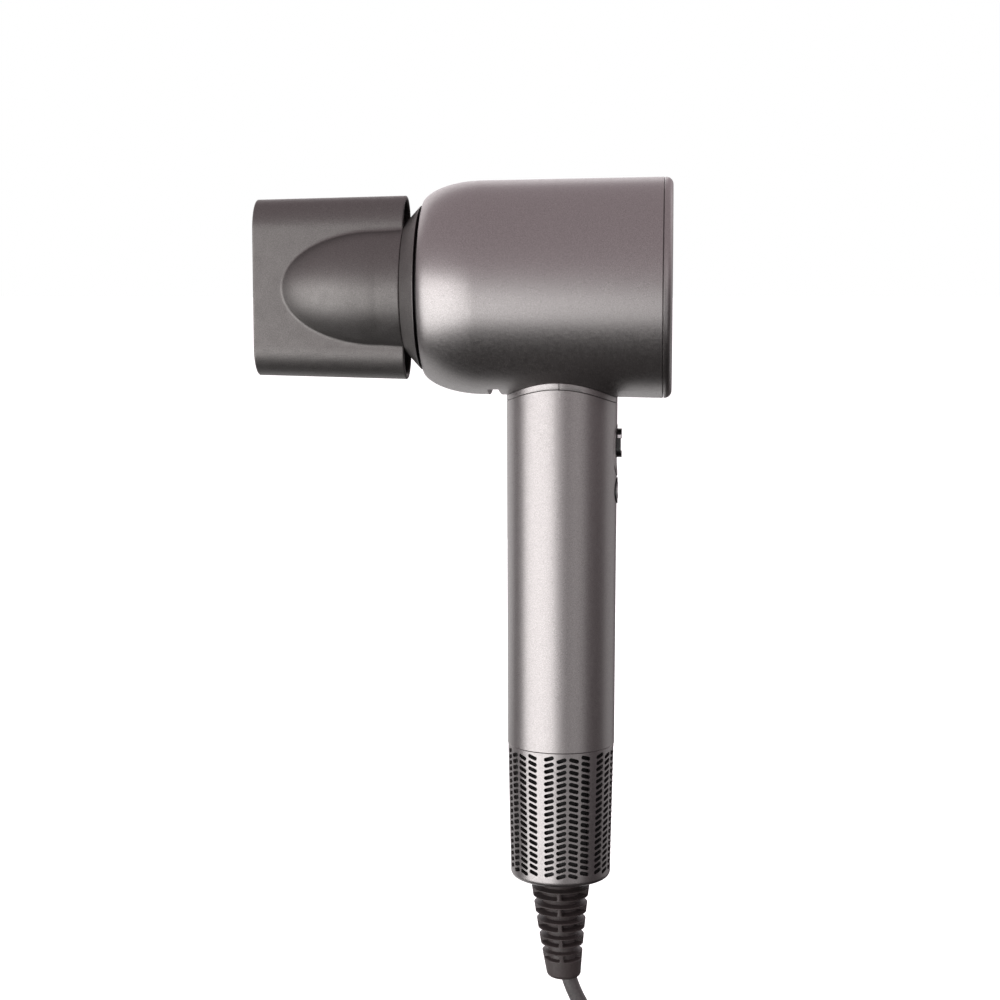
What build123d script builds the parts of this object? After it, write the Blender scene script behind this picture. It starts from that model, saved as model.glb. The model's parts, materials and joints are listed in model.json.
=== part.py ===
"""High-speed hair dryer with a hollow barrel, an intake sleeve low on the handle and a turning
concentrator nozzle. Millimetres. +Z is up along the handle, -X is the way the air leaves.

Every piece is drawn about the point where the barrel axis crosses the handle axis, and is moved
once, when it is written, so that the row's origin is at the middle of the grip."""

import math
import os

from build123d import *

# ---------------------------------------------------------------- driving dimensions
grip_drop = 98.0  # from the barrel axis down to the middle of the grip, which is the origin
grip_length = 28.0  # the stretch under the controls that is a true cylinder
fit_gap = 0.1  # between fixed pieces that slip together
seam_gap = 0.3  # the joint lines that show on the outside
move_gap = 0.3  # between pieces that move past each other
turn_gap = 0.05  # radial, in the nozzle's bearing
shaft_gap = 0.03  # radial, in the motor's bearings

# barrel
barrel_rear_x = 38.4
barrel_seam_x = 35.4  # where the shell ends and the rear ring starts
barrel_rear_r = 38.3
barrel_front_r = 37.3  # where the shoulder starts
shoulder_x = -27.0
barrel_nose_x = -49.0  # where the shoulder's curve would end
shoulder_drop = 9.3
mouth_r = 29.4  # round opening in the front of the shell
shell_wall = 2.0
rear_edge_r = 2.6
bore_lip_r = 2.0
duct_bore_r = 19.5  # the hollow through the barrel
duct_wall = 1.4
duct_front_x = -46.5
slit_gap = 1.7  # the ring-shaped air outlet round the duct
outlet_x = -45.4  # front of the outlet ring
outlet_thick = 2.0
spigot_length = 4.0

# groove under the barrel, for a stand
groove_front_x = -25.3
groove_rear_x = -20.8
groove_depth = 2.4
groove_floor = 1.8
groove_span = 30.0
groove_lean = 0.6

# nozzle
nozzle_length = 53.1
nozzle_rear_half = 32.15  # half the height of the flat sleeve at its open rear end
nozzle_front_half = 30.9
nozzle_half_thick = 10.5
nozzle_wall = 1.6
bulge_rear_r = 22.75  # round body that swells out of the flat sleeve
bulge_r = 22.3
bulge_straight = 8.4
bulge_reach = 39.1
bulge_wall = 1.5
air_slot_half_height = 26.5
air_slot_half_thick = 4.0
air_wall = 1.2
air_entry_r = 18.6
vane_thick = 1.2
vane_spacing = 13.5
vane_length = 26.0
collar_small_r = 22.96
collar_large_r = 28.6
collar_lip = 0.9  # depth of the collar's cylindrical edge
mouth_gap = 0.3  # from the barrel's front edge to the collar
journal_r = 24.2
journal_wall = 1.2
journal_length = 2.7
bead = 0.5  # how far the journal's snap bead stands out
ring_r = 28.4  # outer radius of the nozzle's mounting ring
magnet_r = 1.3
magnet_thick = 1.3
magnet_circle_r = 26.9
magnet_count = 6

# handle
handle_top_r = 19.5
handle_low_r = 19.05
handle_wall = 1.5
handle_seam_z = -161.6  # where the tube ends and the intake sleeve starts
saddle_band = 2.0  # height of the saddle-shaped collar under the barrel
saddle_split = 0.3
chassis_wall = 1.4
neck_r = 17.2  # outer radius of the inner chassis tube
neck_flange_z = -28.6
neck_flange_thick = 1.6
neck_flange_r = 24.0
neck_flange_half = 21.0
neck_screw_x = 21.0
neck_screw_r = 1.1
neck_boss_r = 2.5
chassis_low_z = -157.0

# heater
heater_front_x = -42.0
heater_length = 16.0
heater_r = 30.8
heater_fins = 8
fin_thick = 0.8
coil_wire_r = 0.45
coil_radii = (24.6, 27.2, 29.6)
coil_turns = 4
shield_wall = 0.4
heater_board_thick = 1.2

# intake sleeve
sleeve_top_r = 18.9
sleeve_low_r = 17.87
sleeve_wall = 1.1
sleeve_floor_z = -210.7
sleeve_floor_thick = 1.2
sleeve_edge_r = 2.0
sleeve_hole_r = 11.2
slot_rows = 20
slot_groups = 6
slots_in_group = 4
slot_pitch_z = 2.205
slot_pitch_deg = 13.6
slot_first_z = -163.9  # middle of the top slot in the outer columns of a group
slot_stagger = 0.65  # the inner columns of a group sit this much lower
slot_length = 3.7
slot_width = 1.45
slot_tilt_deg = 17.0
slot_turn_deg = 10.7  # where the group nearest -Y is centred, towards +X
mesh_thick = 0.3
cage_wall = 1.2
cage_window_deg = 44.0
cage_windows = 6
cage_band = 3.0
plate_thick = 2.0
plate_lift = 1.4  # from the sleeve's floor up to the cage's plate

# switch and button, on the +X side of the handle
slider_top_z = -49.1
slider_length = 10.2
slider_width = 6.8
slider_proud = 1.6
slider_dip = 0.4
slider_travel = 5.0
strip_z = -51.7
strip_height = 1.1
bezel_rim = 1.2
bezel_side = 1.5
bezel_proud = 0.12
button_z = -71.0
button_r = 2.9
button_ring_r = 4.6
button_ring_wall = 1.4
button_proud = 0.35
button_travel = 0.8
board_x = 8.0
board_thick = 1.4
board_width = 20.0
board_top_z = -45.0
board_low_z = -84.0

# motor
motor_top_z = -119.0
motor_length = 33.0
motor_r = 13.6
motor_wall = 1.0
hub_r = 8.6
hub_wall = 1.0
hub_length = 20.0
shaft_r = 1.5
bearing_r = 3.6
bearing_length = 2.4
core_length = 8.0
magnet_ring_r = 3.9
air_gap = 0.4
vane_count = 9
blade_count = 11
impeller_height = 8.0
mount_height = 5.0

# strain relief and cord
relief_root_r = 10.7
relief_tip_r = 5.4
relief_tip_z = -248.4
relief_neck_r = 6.0
relief_flange_r = 8.0
relief_flange_thick = 2.0
relief_first_groove_z = -213.3
relief_groove_pitch = 5.95
relief_groove_count = 5
relief_groove_height = 1.3
relief_groove_depth = 1.7
relief_window_depth = 1.9
relief_web = 1.8
relief_lean = 1.4  # how far the free end is bent towards +X
cord_d = 5.6
clamp_top_z = -199.8
clamp_height = 4.0
clamp_half_length = 13.4
clamp_half_width = 4.0
clamp_screw_x = 10.6
clamp_screw_r = 1.1
cord_start_z = -196.0
floor_z = -300.0
coil_mean_r = 33.0
coil_rows = 3
coil_columns = 3
tie_width = 10.0
tie_thick = 1.0
pin_r = 2.4
pin_length = 19.0
pin_spacing = 19.0
plug_width = 35.3
plug_height = 21.0
plug_length = 30.0
plug_tail = 16.0
plug_tail_r = 5.0

# ---------------------------------------------------------------- worked-out places
duct_r = duct_bore_r + duct_wall
slit_r = duct_r + slit_gap
mouth_x = barrel_nose_x + (shoulder_x - barrel_nose_x) * (
    1 - math.sqrt(1 - ((mouth_r - barrel_front_r + shoulder_drop) / shoulder_drop) ** 2)
)
collar_back_x = mouth_x - mouth_gap + collar_lip - mouth_gap
collar_front_x = mouth_x - mouth_gap - (collar_large_r - collar_small_r)
nozzle_rear_x = collar_front_x
nozzle_front_x = nozzle_rear_x - nozzle_length
grip_low_z = -grip_drop - grip_length / 2
plate_top_z = sleeve_floor_z + sleeve_floor_thick + plate_lift + plate_thick
relief_top_z = plate_top_z - plate_thick
slider_low_z = slider_top_z - slider_length
floor_row_z = floor_z + cord_d / 2
top_row_z = floor_row_z + (coil_rows - 1) * cord_d
cord_route = [
    (0, 0, cord_start_z),
    (0, 0, -226),
    (1.5, 0, -248),
    (9, 0, -265),
    (26, 0, -280),
    (52, 0, top_row_z),
]
coil_x = 52.0
coil_y = -coil_mean_r
lead_y = coil_y - coil_mean_r - cord_d
plug_z = floor_z + plug_height / 2
plug_rear_x = coil_x - 46.0  # where the plug's tail meets the lead
lead_route = [
    (coil_x, lead_y, floor_row_z),
    (coil_x - 22, lead_y, floor_row_z + 1),
    (plug_rear_x - 4, lead_y, plug_z),
]
to_row_frame = Pos(0, 0, grip_drop)


# ---------------------------------------------------------------- shapes that repeat
def turned_x(points):
    """A ring about the barrel axis from an outline of (x, radius) points."""
    return revolve(Plane.XZ * make_face(Polyline(*points, close=True)), Axis.X)


def turned_z(points):
    """A ring about the handle axis from an outline of (radius, z) points."""
    return revolve(Plane.XZ * make_face(Polyline(*points, close=True)), Axis.Z)


def tube_x(outer, inner, x0, x1):
    return turned_x([(x0, inner), (x1, inner), (x1, outer), (x0, outer)])


def tube_z(outer, inner, z0, z1):
    return turned_z([(inner, z0), (outer, z0), (outer, z1), (inner, z1)])


def rod_z(radius, z0, z1, x=0.0, y=0.0):
    return Pos(x, y, (z0 + z1) / 2) * Cylinder(radius, abs(z1 - z0))


def rod_x(radius, x0, x1, y=0.0, z=0.0):
    return Pos((x0 + x1) / 2, y, z) * Rot(0, 90, 0) * Cylinder(radius, abs(x1 - x0))


def block(x0, x1, y0, y1, z0, z1):
    return Pos((x0 + x1) / 2, (y0 + y1) / 2, (z0 + z1) / 2) * Box(x1 - x0, y1 - y0, z1 - z0)


def around_z(shape, count, start=0.0):
    return [Rot(0, 0, start + 360 * k / count) * shape for k in range(count)]


def around_x(shape, count, start=0.0):
    return [Rot(start + 360 * k / count, 0, 0) * shape for k in range(count)]


def group(shapes):
    """Separate solids kept side by side in one node."""
    return Compound(children=[solid for shape in shapes for solid in shape.solids()])


def export(shape, name):
    export_step(to_row_frame * shape, f"parts/{name}.step")


# ---------------------------------------------------------------- barrel
def barrel_radius(x):
    """Outer radius of the straight, slightly tapered stretch of the shell."""
    share = (x - shoulder_x) / (barrel_seam_x - shoulder_x)
    return barrel_front_r + share * (barrel_rear_r - barrel_front_r)


def shell_inner_radius(x):
    """Inner radius of the shell inside the shoulder."""
    reach = shoulder_x - barrel_nose_x - shell_wall
    rise = shoulder_drop - shell_wall
    share = (shoulder_x - x) / reach
    return barrel_front_r - shoulder_drop + rise * math.sqrt(1 - share**2)


def barrel_form(inset):
    """The barrel's outer form, drawn in by inset and filled to its axis."""
    nose_x = barrel_nose_x + inset
    nose_r = barrel_front_r - shoulder_drop
    rear = (barrel_seam_x, barrel_rear_r - inset)
    wall = Line(rear, (shoulder_x, barrel_front_r - inset))
    shoulder = EllipticalCenterArc(
        (shoulder_x, nose_r), shoulder_x - nose_x, shoulder_drop - inset, 90, arc_size=90
    )
    front = Polyline((nose_x, nose_r), (nose_x, 0), (barrel_seam_x, 0), rear)
    return revolve(Plane.XZ * make_face(wall + shoulder + front), Axis.X)


def barrel_cone(grow):
    """The straight stretch of the barrel over the handle, as a tool, grown by grow."""
    x0 = -handle_top_r - 5
    x1 = handle_top_r + 5
    return turned_x(
        [(x0, 0), (x1, 0), (x1, barrel_radius(x1) + grow), (x0, barrel_radius(x0) + grow)]
    )


def groove_tool(grow, low, top):
    """A bar across the underside of the barrel whose front and rear walls lean."""
    corners = [
        (groove_front_x - grow, low),
        (groove_rear_x + grow + groove_lean, low),
        (groove_rear_x + grow - groove_lean, top),
        (groove_front_x - grow, top),
    ]
    return extrude(Plane.XZ * make_face(Polyline(*corners, close=True)), groove_span / 2, both=True)


def neck_screw_places():
    return [-neck_screw_x, neck_screw_x]


def barrel_shell():
    bottom = -barrel_radius(groove_front_x)
    top = bottom + groove_depth
    shell = barrel_form(0) - barrel_form(shell_wall)
    shell += groove_tool(groove_floor, bottom, top + groove_floor) & barrel_form(shell_wall / 2)
    for x in neck_screw_places():
        boss = rod_z(neck_boss_r, -barrel_rear_r, neck_flange_z, x) & barrel_form(shell_wall / 2)
        shell += boss
        shell -= rod_z(neck_screw_r, neck_flange_z - 5, neck_flange_z + 1, x)
    shell -= groove_tool(0, bottom - 1, top)
    shell -= rod_x(mouth_r, barrel_nose_x - 1, barrel_nose_x + 2 * shell_wall)
    shell -= rod_z(neck_r + fit_gap, -barrel_rear_r - 5, -duct_r - 5)
    return shell


def rear_ring():
    """Cap ring with a rounded outer edge, a rounded bore lip and a spigot inside the shell."""
    x0 = barrel_seam_x + seam_gap
    edge_x = barrel_rear_x - rear_edge_r
    lip_x = barrel_rear_x - bore_lip_r
    outline = (
        Line((x0, barrel_rear_r), (edge_x, barrel_rear_r))
        + CenterArc((edge_x, barrel_rear_r - rear_edge_r), rear_edge_r, 90, -90)
        + Line((barrel_rear_x, barrel_rear_r - rear_edge_r), (barrel_rear_x, duct_bore_r + bore_lip_r))
        + CenterArc((lip_x, duct_bore_r + bore_lip_r), bore_lip_r, 0, -90)
        + Polyline((lip_x, duct_bore_r), (x0, duct_bore_r), (x0, barrel_rear_r))
    )
    spigot_r = barrel_rear_r - shell_wall - fit_gap
    spigot_r -= spigot_length * (barrel_rear_r - barrel_front_r) / (barrel_seam_x - shoulder_x)
    spigot = tube_x(spigot_r, spigot_r - 1.5, x0 - spigot_length, x0)
    socket = tube_x(duct_r + 1.5, duct_r + fit_gap, x0 - spigot_length, x0)
    return revolve(Plane.XZ * make_face(outline), Axis.X) + spigot + socket


def inner_duct():
    return tube_x(duct_r, duct_bore_r, duct_front_x, barrel_seam_x + seam_gap)


def magnets(x0):
    magnet = rod_x(magnet_r, x0, x0 + magnet_thick, z=magnet_circle_r)
    return group(around_x(magnet, magnet_count, 30))


def magnet_pockets(x0):
    pocket = rod_x(magnet_r + fit_gap, x0, x0 + magnet_thick, z=magnet_circle_r)
    return around_x(pocket, magnet_count, 30)


def outlet_ring():
    """Plate in the mouth that leaves the ring-shaped slit open round the duct."""
    rear = outlet_x + outlet_thick
    outer_front = shell_inner_radius(outlet_x) - fit_gap
    outer_rear = shell_inner_radius(rear) - fit_gap
    ring = turned_x([(outlet_x, slit_r), (rear, slit_r), (rear, outer_rear), (outlet_x, outer_front)])
    spacer = block(duct_front_x + 1.5, outlet_x + outlet_thick, -0.6, 0.6, duct_r, slit_r + 0.5)
    for web in around_x(spacer & tube_x(slit_r + 0.5, duct_r, outlet_x, rear), 3, 90):
        ring += web
    for pocket in magnet_pockets(outlet_x):
        ring -= pocket
    return ring


# ---------------------------------------------------------------- heater
heater_rear_x = heater_front_x + heater_length


def heater_wires(radius):
    """Rings of resistance wire, three across and four along."""
    step = heater_length / coil_turns
    return [
        Pos(heater_front_x + (k + 0.5) * step, 0, 0) * Rot(0, 90, 0) * Torus(ring, radius)
        for k in range(coil_turns)
        for ring in coil_radii
    ]


def heater_frame():
    fin = block(heater_front_x, heater_rear_x, -fin_thick / 2, fin_thick / 2, duct_r + 0.4, heater_r)
    frame = tube_x(duct_r + 1.2, duct_r + fit_gap, heater_front_x, heater_rear_x)
    for piece in around_x(fin, heater_fins, 22.5):
        frame += piece
    for wire in heater_wires(coil_wire_r + 0.05):
        frame -= wire
    return frame


def heat_shield():
    return tube_x(heater_r + fit_gap + shield_wall, heater_r + fit_gap, heater_front_x, heater_rear_x)


def heater_board():
    """Half ring behind the heater that carries the thermostat and the fuse."""
    x0 = heater_rear_x + fit_gap
    ring = tube_x(heater_r, duct_r + fit_gap, x0, x0 + heater_board_thick)
    return ring & block(x0 - 1, x0 + 5, -40, 40, 0.5, 40)


def thermostat():
    x0 = heater_rear_x + fit_gap + heater_board_thick
    return rod_x(3.6, x0, x0 + 5, y=-11, z=24)


def thermal_fuse():
    x0 = heater_rear_x + fit_gap + heater_board_thick
    return rod_x(2.0, x0, x0 + 9, y=11, z=24)


def ion_module():
    body = block(8, 30, -8, 8, duct_r - 3, 31)
    return body - rod_x(duct_r, 0, 40)


def neck_screws():
    """Two screws that hold the chassis neck in the shell."""
    top = neck_flange_z + neck_flange_thick
    screws = []
    for x in neck_screw_places():
        shank = rod_z(neck_screw_r - 0.1, neck_flange_z - 4.5, top, x)
        screws.append(shank + rod_z(2.0, top, top + 1.2, x))
    return group(screws)


# ---------------------------------------------------------------- nozzle
def section(x, half_height, half_thick):
    """Upright slot with round ends, across the barrel axis at x."""
    plane = Plane(origin=(x, 0, 0), x_dir=(0, 1, 0), z_dir=(1, 0, 0))
    return plane * SlotOverall(2 * half_height, 2 * half_thick, rotation=90)


def disc(x, radius):
    plane = Plane(origin=(x, 0, 0), x_dir=(0, 1, 0), z_dir=(1, 0, 0))
    return plane * Circle(radius)


def flat_sleeve(inset, overrun):
    """The nozzle's flat sleeve, drawn in by inset and run past both ends by overrun."""
    slope = (nozzle_rear_half - nozzle_front_half) / nozzle_length
    rear = section(
        nozzle_rear_x + overrun, nozzle_rear_half - inset + slope * overrun, nozzle_half_thick - inset
    )
    front = section(
        nozzle_front_x - overrun, nozzle_front_half - inset - slope * overrun, nozzle_half_thick - inset
    )
    return loft([rear, front], ruled=True)


def bulge(inset, overrun):
    """The round body that swells out of the sleeve, drawn in by inset."""
    tip_x = nozzle_rear_x - bulge_straight
    rear_x = nozzle_rear_x + overrun
    reach = bulge_reach - inset
    outline = (
        Line((rear_x, bulge_rear_r - inset), (tip_x, bulge_r - inset))
        + EllipticalCenterArc((tip_x, 0), reach, bulge_r - inset, 90, arc_size=90)
        + Polyline((tip_x - reach, 0), (rear_x, 0), (rear_x, bulge_rear_r - inset))
    )
    return revolve(Plane.XZ * make_face(outline), Axis.X)


def nozzle_body():
    outer = flat_sleeve(0, 0) + bulge(0, 0)
    inner = flat_sleeve(nozzle_wall, 1) + bulge(bulge_wall, 1)
    return outer - inner


def air_path(grow, overrun):
    """The way of the air through the nozzle: from round to a narrow slot."""
    rear = disc(nozzle_rear_x + overrun, air_entry_r + grow)
    front = section(
        nozzle_front_x - overrun, air_slot_half_height + grow, air_slot_half_thick + grow
    )
    return loft([rear, front], ruled=True)


def nozzle_duct():
    """Duct with a flange that closes the front of the sleeve round the air slot."""
    lip_x = nozzle_front_x + 1.0
    flange = flat_sleeve(nozzle_wall + fit_gap, 0) & block(lip_x, lip_x + 1.4, -20, 20, -40, 40)
    rear_flange = bulge(bulge_wall + fit_gap, 0) & block(nozzle_rear_x - 1.6, 0, -40, 40, -40, 40)
    duct = air_path(air_wall, 0) & block(lip_x, 0, -40, 40, -40, 40)
    return duct + flange + rear_flange - air_path(0, 1)


def nozzle_vanes():
    x0 = nozzle_front_x + 12
    return group(
        [
            block(x0, x0 + vane_length, -15, 15, z - vane_thick / 2, z + vane_thick / 2)
            & air_path(0, 1)
            for z in (-vane_spacing, 0, vane_spacing)
        ]
    )


def nozzle_collar():
    """Cone between the nozzle and the barrel, with the journal that it turns on."""
    edge_x = collar_front_x + collar_large_r - collar_small_r
    back_x = collar_back_x
    tip_x = back_x + journal_length
    inner_r = journal_r - journal_wall
    return turned_x(
        [
            (collar_front_x + fit_gap, air_entry_r + 1.5),
            (collar_front_x + fit_gap, collar_small_r),
            (edge_x, collar_large_r),
            (back_x, collar_large_r),
            (back_x, journal_r),
            (tip_x - 0.8, journal_r),
            (tip_x - 0.8, journal_r + bead),
            (tip_x, journal_r + bead),
            (tip_x, inner_r),
            (back_x, inner_r),
        ]
    )


def nozzle_mount_ring():
    """Ring that the magnets hold in the mouth and that the collar's journal turns in."""
    front = collar_back_x + move_gap / 2
    rear = outlet_x - 0.25
    bead_front = collar_back_x + journal_length - 0.8 - 0.15
    bore = journal_r + turn_gap
    ring = turned_x(
        [
            (front, bore),
            (bead_front, bore),
            (bead_front, bore + bead + 0.2),
            (rear, bore + bead + 0.2),
            (rear, ring_r),
            (front, ring_r),
        ]
    )
    for pocket in magnet_pockets(rear - magnet_thick):
        ring -= pocket
    return ring


# ---------------------------------------------------------------- handle
def handle_form(inset):
    top = -barrel_front_r + 12
    return turned_z(
        [
            (0, handle_seam_z),
            (handle_low_r - inset, handle_seam_z),
            (handle_top_r - inset, grip_low_z),
            (handle_top_r - inset, top),
            (0, top),
        ]
    )


def side_stadium(low_z, top_z, width, x0=10.0, x1=30.0):
    """Upright round-ended bar along +X through the handle's side."""
    plane = Plane(origin=(x0, 0, (low_z + top_z) / 2), x_dir=(0, 1, 0), z_dir=(1, 0, 0))
    return extrude(plane * SlotOverall(top_z - low_z, width, rotation=90), x1 - x0)


track_top_z = slider_top_z + move_gap
track_low_z = slider_low_z - slider_travel - move_gap
track_width = slider_width + 2 * move_gap


def bezel_tool(grow):
    return side_stadium(
        track_low_z - bezel_rim - grow,
        track_top_z + bezel_rim + grow,
        track_width + 2 * (bezel_side + grow),
    )


def handle_collar():
    """Saddle-shaped band between the barrel and the handle tube, split at its front."""
    band = handle_form(0) - handle_form(handle_wall)
    band = (band & barrel_cone(saddle_band)) - barrel_cone(0.02)
    band = band & block(-30, 30, -30, 30, -60, -20)
    return band - block(-saddle_split / 2, saddle_split / 2, -30, 0, -60, -20)


def handle_tube():
    tube = handle_form(0) - handle_form(handle_wall) - barrel_cone(saddle_band + seam_gap)
    tube = tube & block(-30, 30, -30, 30, -200, -barrel_front_r + 8)
    tube -= bezel_tool(fit_gap)
    return tube - rod_x(button_ring_r + fit_gap, 10, 30, z=button_z)


def handle_skin(proud, depth):
    """Thin wall that follows the handle's surface, from depth under it to proud over it."""
    return rod_z(handle_top_r + proud, -90, -40) - rod_z(handle_top_r - depth, -90, -40)


def switch_bezel():
    plate = bezel_tool(0) & handle_skin(bezel_proud, handle_wall)
    return plate - side_stadium(track_low_z, track_top_z, track_width)


def power_slider():
    """Sliding cap with a dip for the thumb, a flange behind the bezel and a stem to the switch."""
    top = slider_top_z
    low = slider_low_z
    cap = side_stadium(low, top, slider_width) & handle_skin(slider_proud, handle_wall + 0.3)
    middle = (top + low) / 2
    cap -= block(handle_top_r + slider_proud - slider_dip, 30, -10, 10, low + 2.2, top - 3.4)
    cap -= block(handle_top_r + 0.2, 30, -10, 10, strip_z - strip_height / 2, strip_z + strip_height / 2)
    flange_r = handle_top_r - handle_wall - 0.3
    flange = block(10, 30, -4.6, 4.6, low - 0.6, top + 0.6)
    flange = flange & tube_z(flange_r, flange_r - 1.0, low - 5, top + 5)
    stem = block(11.5, flange_r - 0.2, -1.2, 1.2, middle - 1.5, middle + 1.5)
    return cap + flange + stem


def slider_strip():
    """Bright band set into the slider."""
    band = block(
        handle_top_r + 0.2, 30, -10, 10, strip_z - strip_height / 2, strip_z + strip_height / 2
    )
    return band & side_stadium(slider_low_z, slider_top_z, slider_width) & handle_skin(slider_proud, 0)


def button_ring():
    ring = rod_x(button_ring_r, handle_top_r - 2.4, 30, z=button_z)
    ring = ring & rod_z(handle_top_r + button_proud - 0.1, -90, -40)
    return ring - rod_x(button_ring_r - button_ring_wall, 10, 30, z=button_z)


def cold_button():
    """Round button with a shallow dish and a flange that its ring holds back."""
    face_x = handle_top_r + button_proud
    body = rod_x(button_r, handle_top_r - 4.5, face_x, z=button_z)
    body -= Pos(face_x + 11.7, 0, button_z) * Sphere(12)
    flange_x = handle_top_r - 2.4 - 0.15
    return body + rod_x(button_r + 1.2, flange_x - 0.8, flange_x, z=button_z)


def switch_board():
    return block(board_x, board_x + board_thick, -board_width / 2, board_width / 2, board_low_z, board_top_z)


def slide_switch_body():
    """Housing on the board, with the channel that the slider's stem runs in."""
    x0 = board_x + board_thick
    middle = (slider_top_z + slider_low_z) / 2
    body = block(x0, 14.2, -3.6, 3.6, middle - 1.5 - slider_travel - 2, middle + 3.5)
    return body - block(11.0, 15, -1.5, 1.5, middle - 1.8 - slider_travel, middle + 1.8)


def push_switch():
    """Small push switch whose dome returns the button."""
    x0 = board_x + board_thick
    tip = handle_top_r - 4.5 - button_travel - 0.1
    return block(x0, x0 + 3, -3, 3, button_z - 3, button_z + 3) + rod_x(1.5, x0 + 3, tip, z=button_z)


def handle_chassis():
    """Inner tube that joins the barrel, the controls, the motor and the intake cage."""
    inner = neck_r - chassis_wall
    tube = tube_z(neck_r, inner, chassis_low_z, neck_flange_z + neck_flange_thick)
    flange = tube_z(neck_flange_r, inner, neck_flange_z, neck_flange_z + neck_flange_thick)
    flange = flange & block(-30, 30, -neck_flange_half, neck_flange_half, -60, 0)
    body = tube + (flange & barrel_form(shell_wall + 0.3))
    body -= block(10, 30, -7, 7, button_z - 7, slider_top_z + 3)
    for x in neck_screw_places():
        body -= rod_z(neck_screw_r, neck_flange_z - 1, neck_flange_z + neck_flange_thick + 1, x)
    edge = board_width / 2
    for side in (-1, 1):
        rail = block(board_x - 1.5, board_x + board_thick + 1.5, edge - 0.8, 20, board_low_z, board_top_z)
        rail -= block(board_x, board_x + board_thick, 0, edge, board_low_z - 1, board_top_z + 1)
        rail = rail & rod_z(inner + chassis_wall / 2, -100, -40)
        body += rail if side > 0 else mirror(rail, Plane.XZ)
    return body


# ---------------------------------------------------------------- motor
motor_low_z = motor_top_z - motor_length
hub_top_z = motor_top_z - 1.0
hub_low_z = hub_top_z - hub_length
impeller_top_z = hub_low_z - 1.0
impeller_low_z = impeller_top_z - impeller_height
motor_bore = motor_r - motor_wall


def motor_housing():
    """Outer tube, fixed vanes, and the cup in the middle that holds the stator."""
    outer = tube_z(motor_r, motor_bore, motor_low_z, motor_top_z)
    cup = tube_z(hub_r, hub_r - hub_wall, hub_low_z, hub_top_z)
    floor = tube_z(hub_r, bearing_r + fit_gap / 2, hub_low_z, hub_low_z + bearing_length)
    vane = block(hub_r - 0.3, motor_bore + 0.3, -0.4, 0.4, hub_low_z, hub_low_z + 11)
    body = outer + cup + floor
    for piece in around_z(vane, vane_count):
        body += piece
    return body


def motor_cap():
    """End shield on the cup, with the seat for the upper bearing."""
    top = hub_top_z
    plate = tube_z(hub_r, bearing_r + fit_gap / 2, top, top + bearing_length)
    rim = tube_z(hub_r - hub_wall - fit_gap, hub_r - hub_wall - 1, top - 1.5, top + 0.2)
    return plate + rim


def motor_bearings():
    low = tube_z(bearing_r, shaft_r + shaft_gap, hub_low_z, hub_low_z + bearing_length)
    top = tube_z(bearing_r, shaft_r + shaft_gap, hub_top_z, hub_top_z + bearing_length)
    return group([low, top])


core_z = (hub_low_z + bearing_length + hub_top_z) / 2


def stator_core():
    """Laminated ring with six poles."""
    outer = hub_r - hub_wall - fit_gap
    ring = tube_z(outer, outer - 1.2, core_z - core_length / 2, core_z + core_length / 2)
    bore = magnet_ring_r + air_gap
    pole = block(bore - 0.5, outer - 0.5, -0.9, 0.9, core_z - core_length / 2, core_z + core_length / 2)
    for piece in around_z(pole, 6):
        ring += piece
    return ring - rod_z(bore, core_z - 10, core_z + 10)


def stator_windings():
    """A coil of copper round each pole."""
    outer = hub_r - hub_wall - fit_gap
    bore = magnet_ring_r + air_gap
    half = core_length / 2
    coil = block(bore + 0.4, outer - 1.5, -1.6, 1.6, core_z - half - 1, core_z + half + 1)
    coil -= block(bore - 1, outer, -1.0, 1.0, core_z - half - 0.1, core_z + half + 0.1)
    return group(around_z(coil, 6))


def rotor_shaft():
    return rod_z(shaft_r, impeller_low_z + 0.5, hub_top_z + bearing_length + 0.5)


def rotor_magnet():
    half = core_length / 2
    return tube_z(magnet_ring_r, shaft_r, core_z - half, core_z + half)


def impeller():
    """Cone-shaped hub with blades that sweep round it."""
    tip_r = motor_bore - air_gap
    hub = turned_z(
        [
            (shaft_r, impeller_low_z),
            (4.0, impeller_low_z),
            (hub_r - 0.2, impeller_top_z - 2),
            (hub_r - 0.2, impeller_top_z),
            (shaft_r, impeller_top_z),
        ]
    )
    blade = Rot(32, 0, 0) * Box(tip_r, 0.7, impeller_height + 3)
    blade = Pos(tip_r / 2 + 3.5, 0, (impeller_top_z + impeller_low_z) / 2) * blade
    zone = tube_z(tip_r, shaft_r + 2, impeller_low_z + 1, impeller_top_z - 0.5)
    wheel = hub
    for piece in around_z(blade & zone, blade_count):
        wheel += piece
    return wheel - rod_z(shaft_r, impeller_low_z - 1, impeller_top_z + 1)


def motor_board():
    top = hub_top_z + bearing_length
    return tube_z(hub_r, shaft_r + 1.5, top + 0.05, top + 1.25)


def motor_mount(low_z):
    return tube_z(neck_r - chassis_wall - 0.02, motor_r + 0.02, low_z, low_z + mount_height)


# ---------------------------------------------------------------- intake
def sleeve_radius(z):
    """Outer radius of the intake sleeve, which narrows a little towards its floor."""
    top = handle_seam_z - seam_gap
    share = (top - z) / (top - sleeve_floor_z)
    return sleeve_top_r + share * (sleeve_low_r - sleeve_top_r)


sleeve_top_z = handle_seam_z - seam_gap
mesh_r = sleeve_low_r - sleeve_wall - 0.35
cage_r = mesh_r - mesh_thick - move_gap


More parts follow.
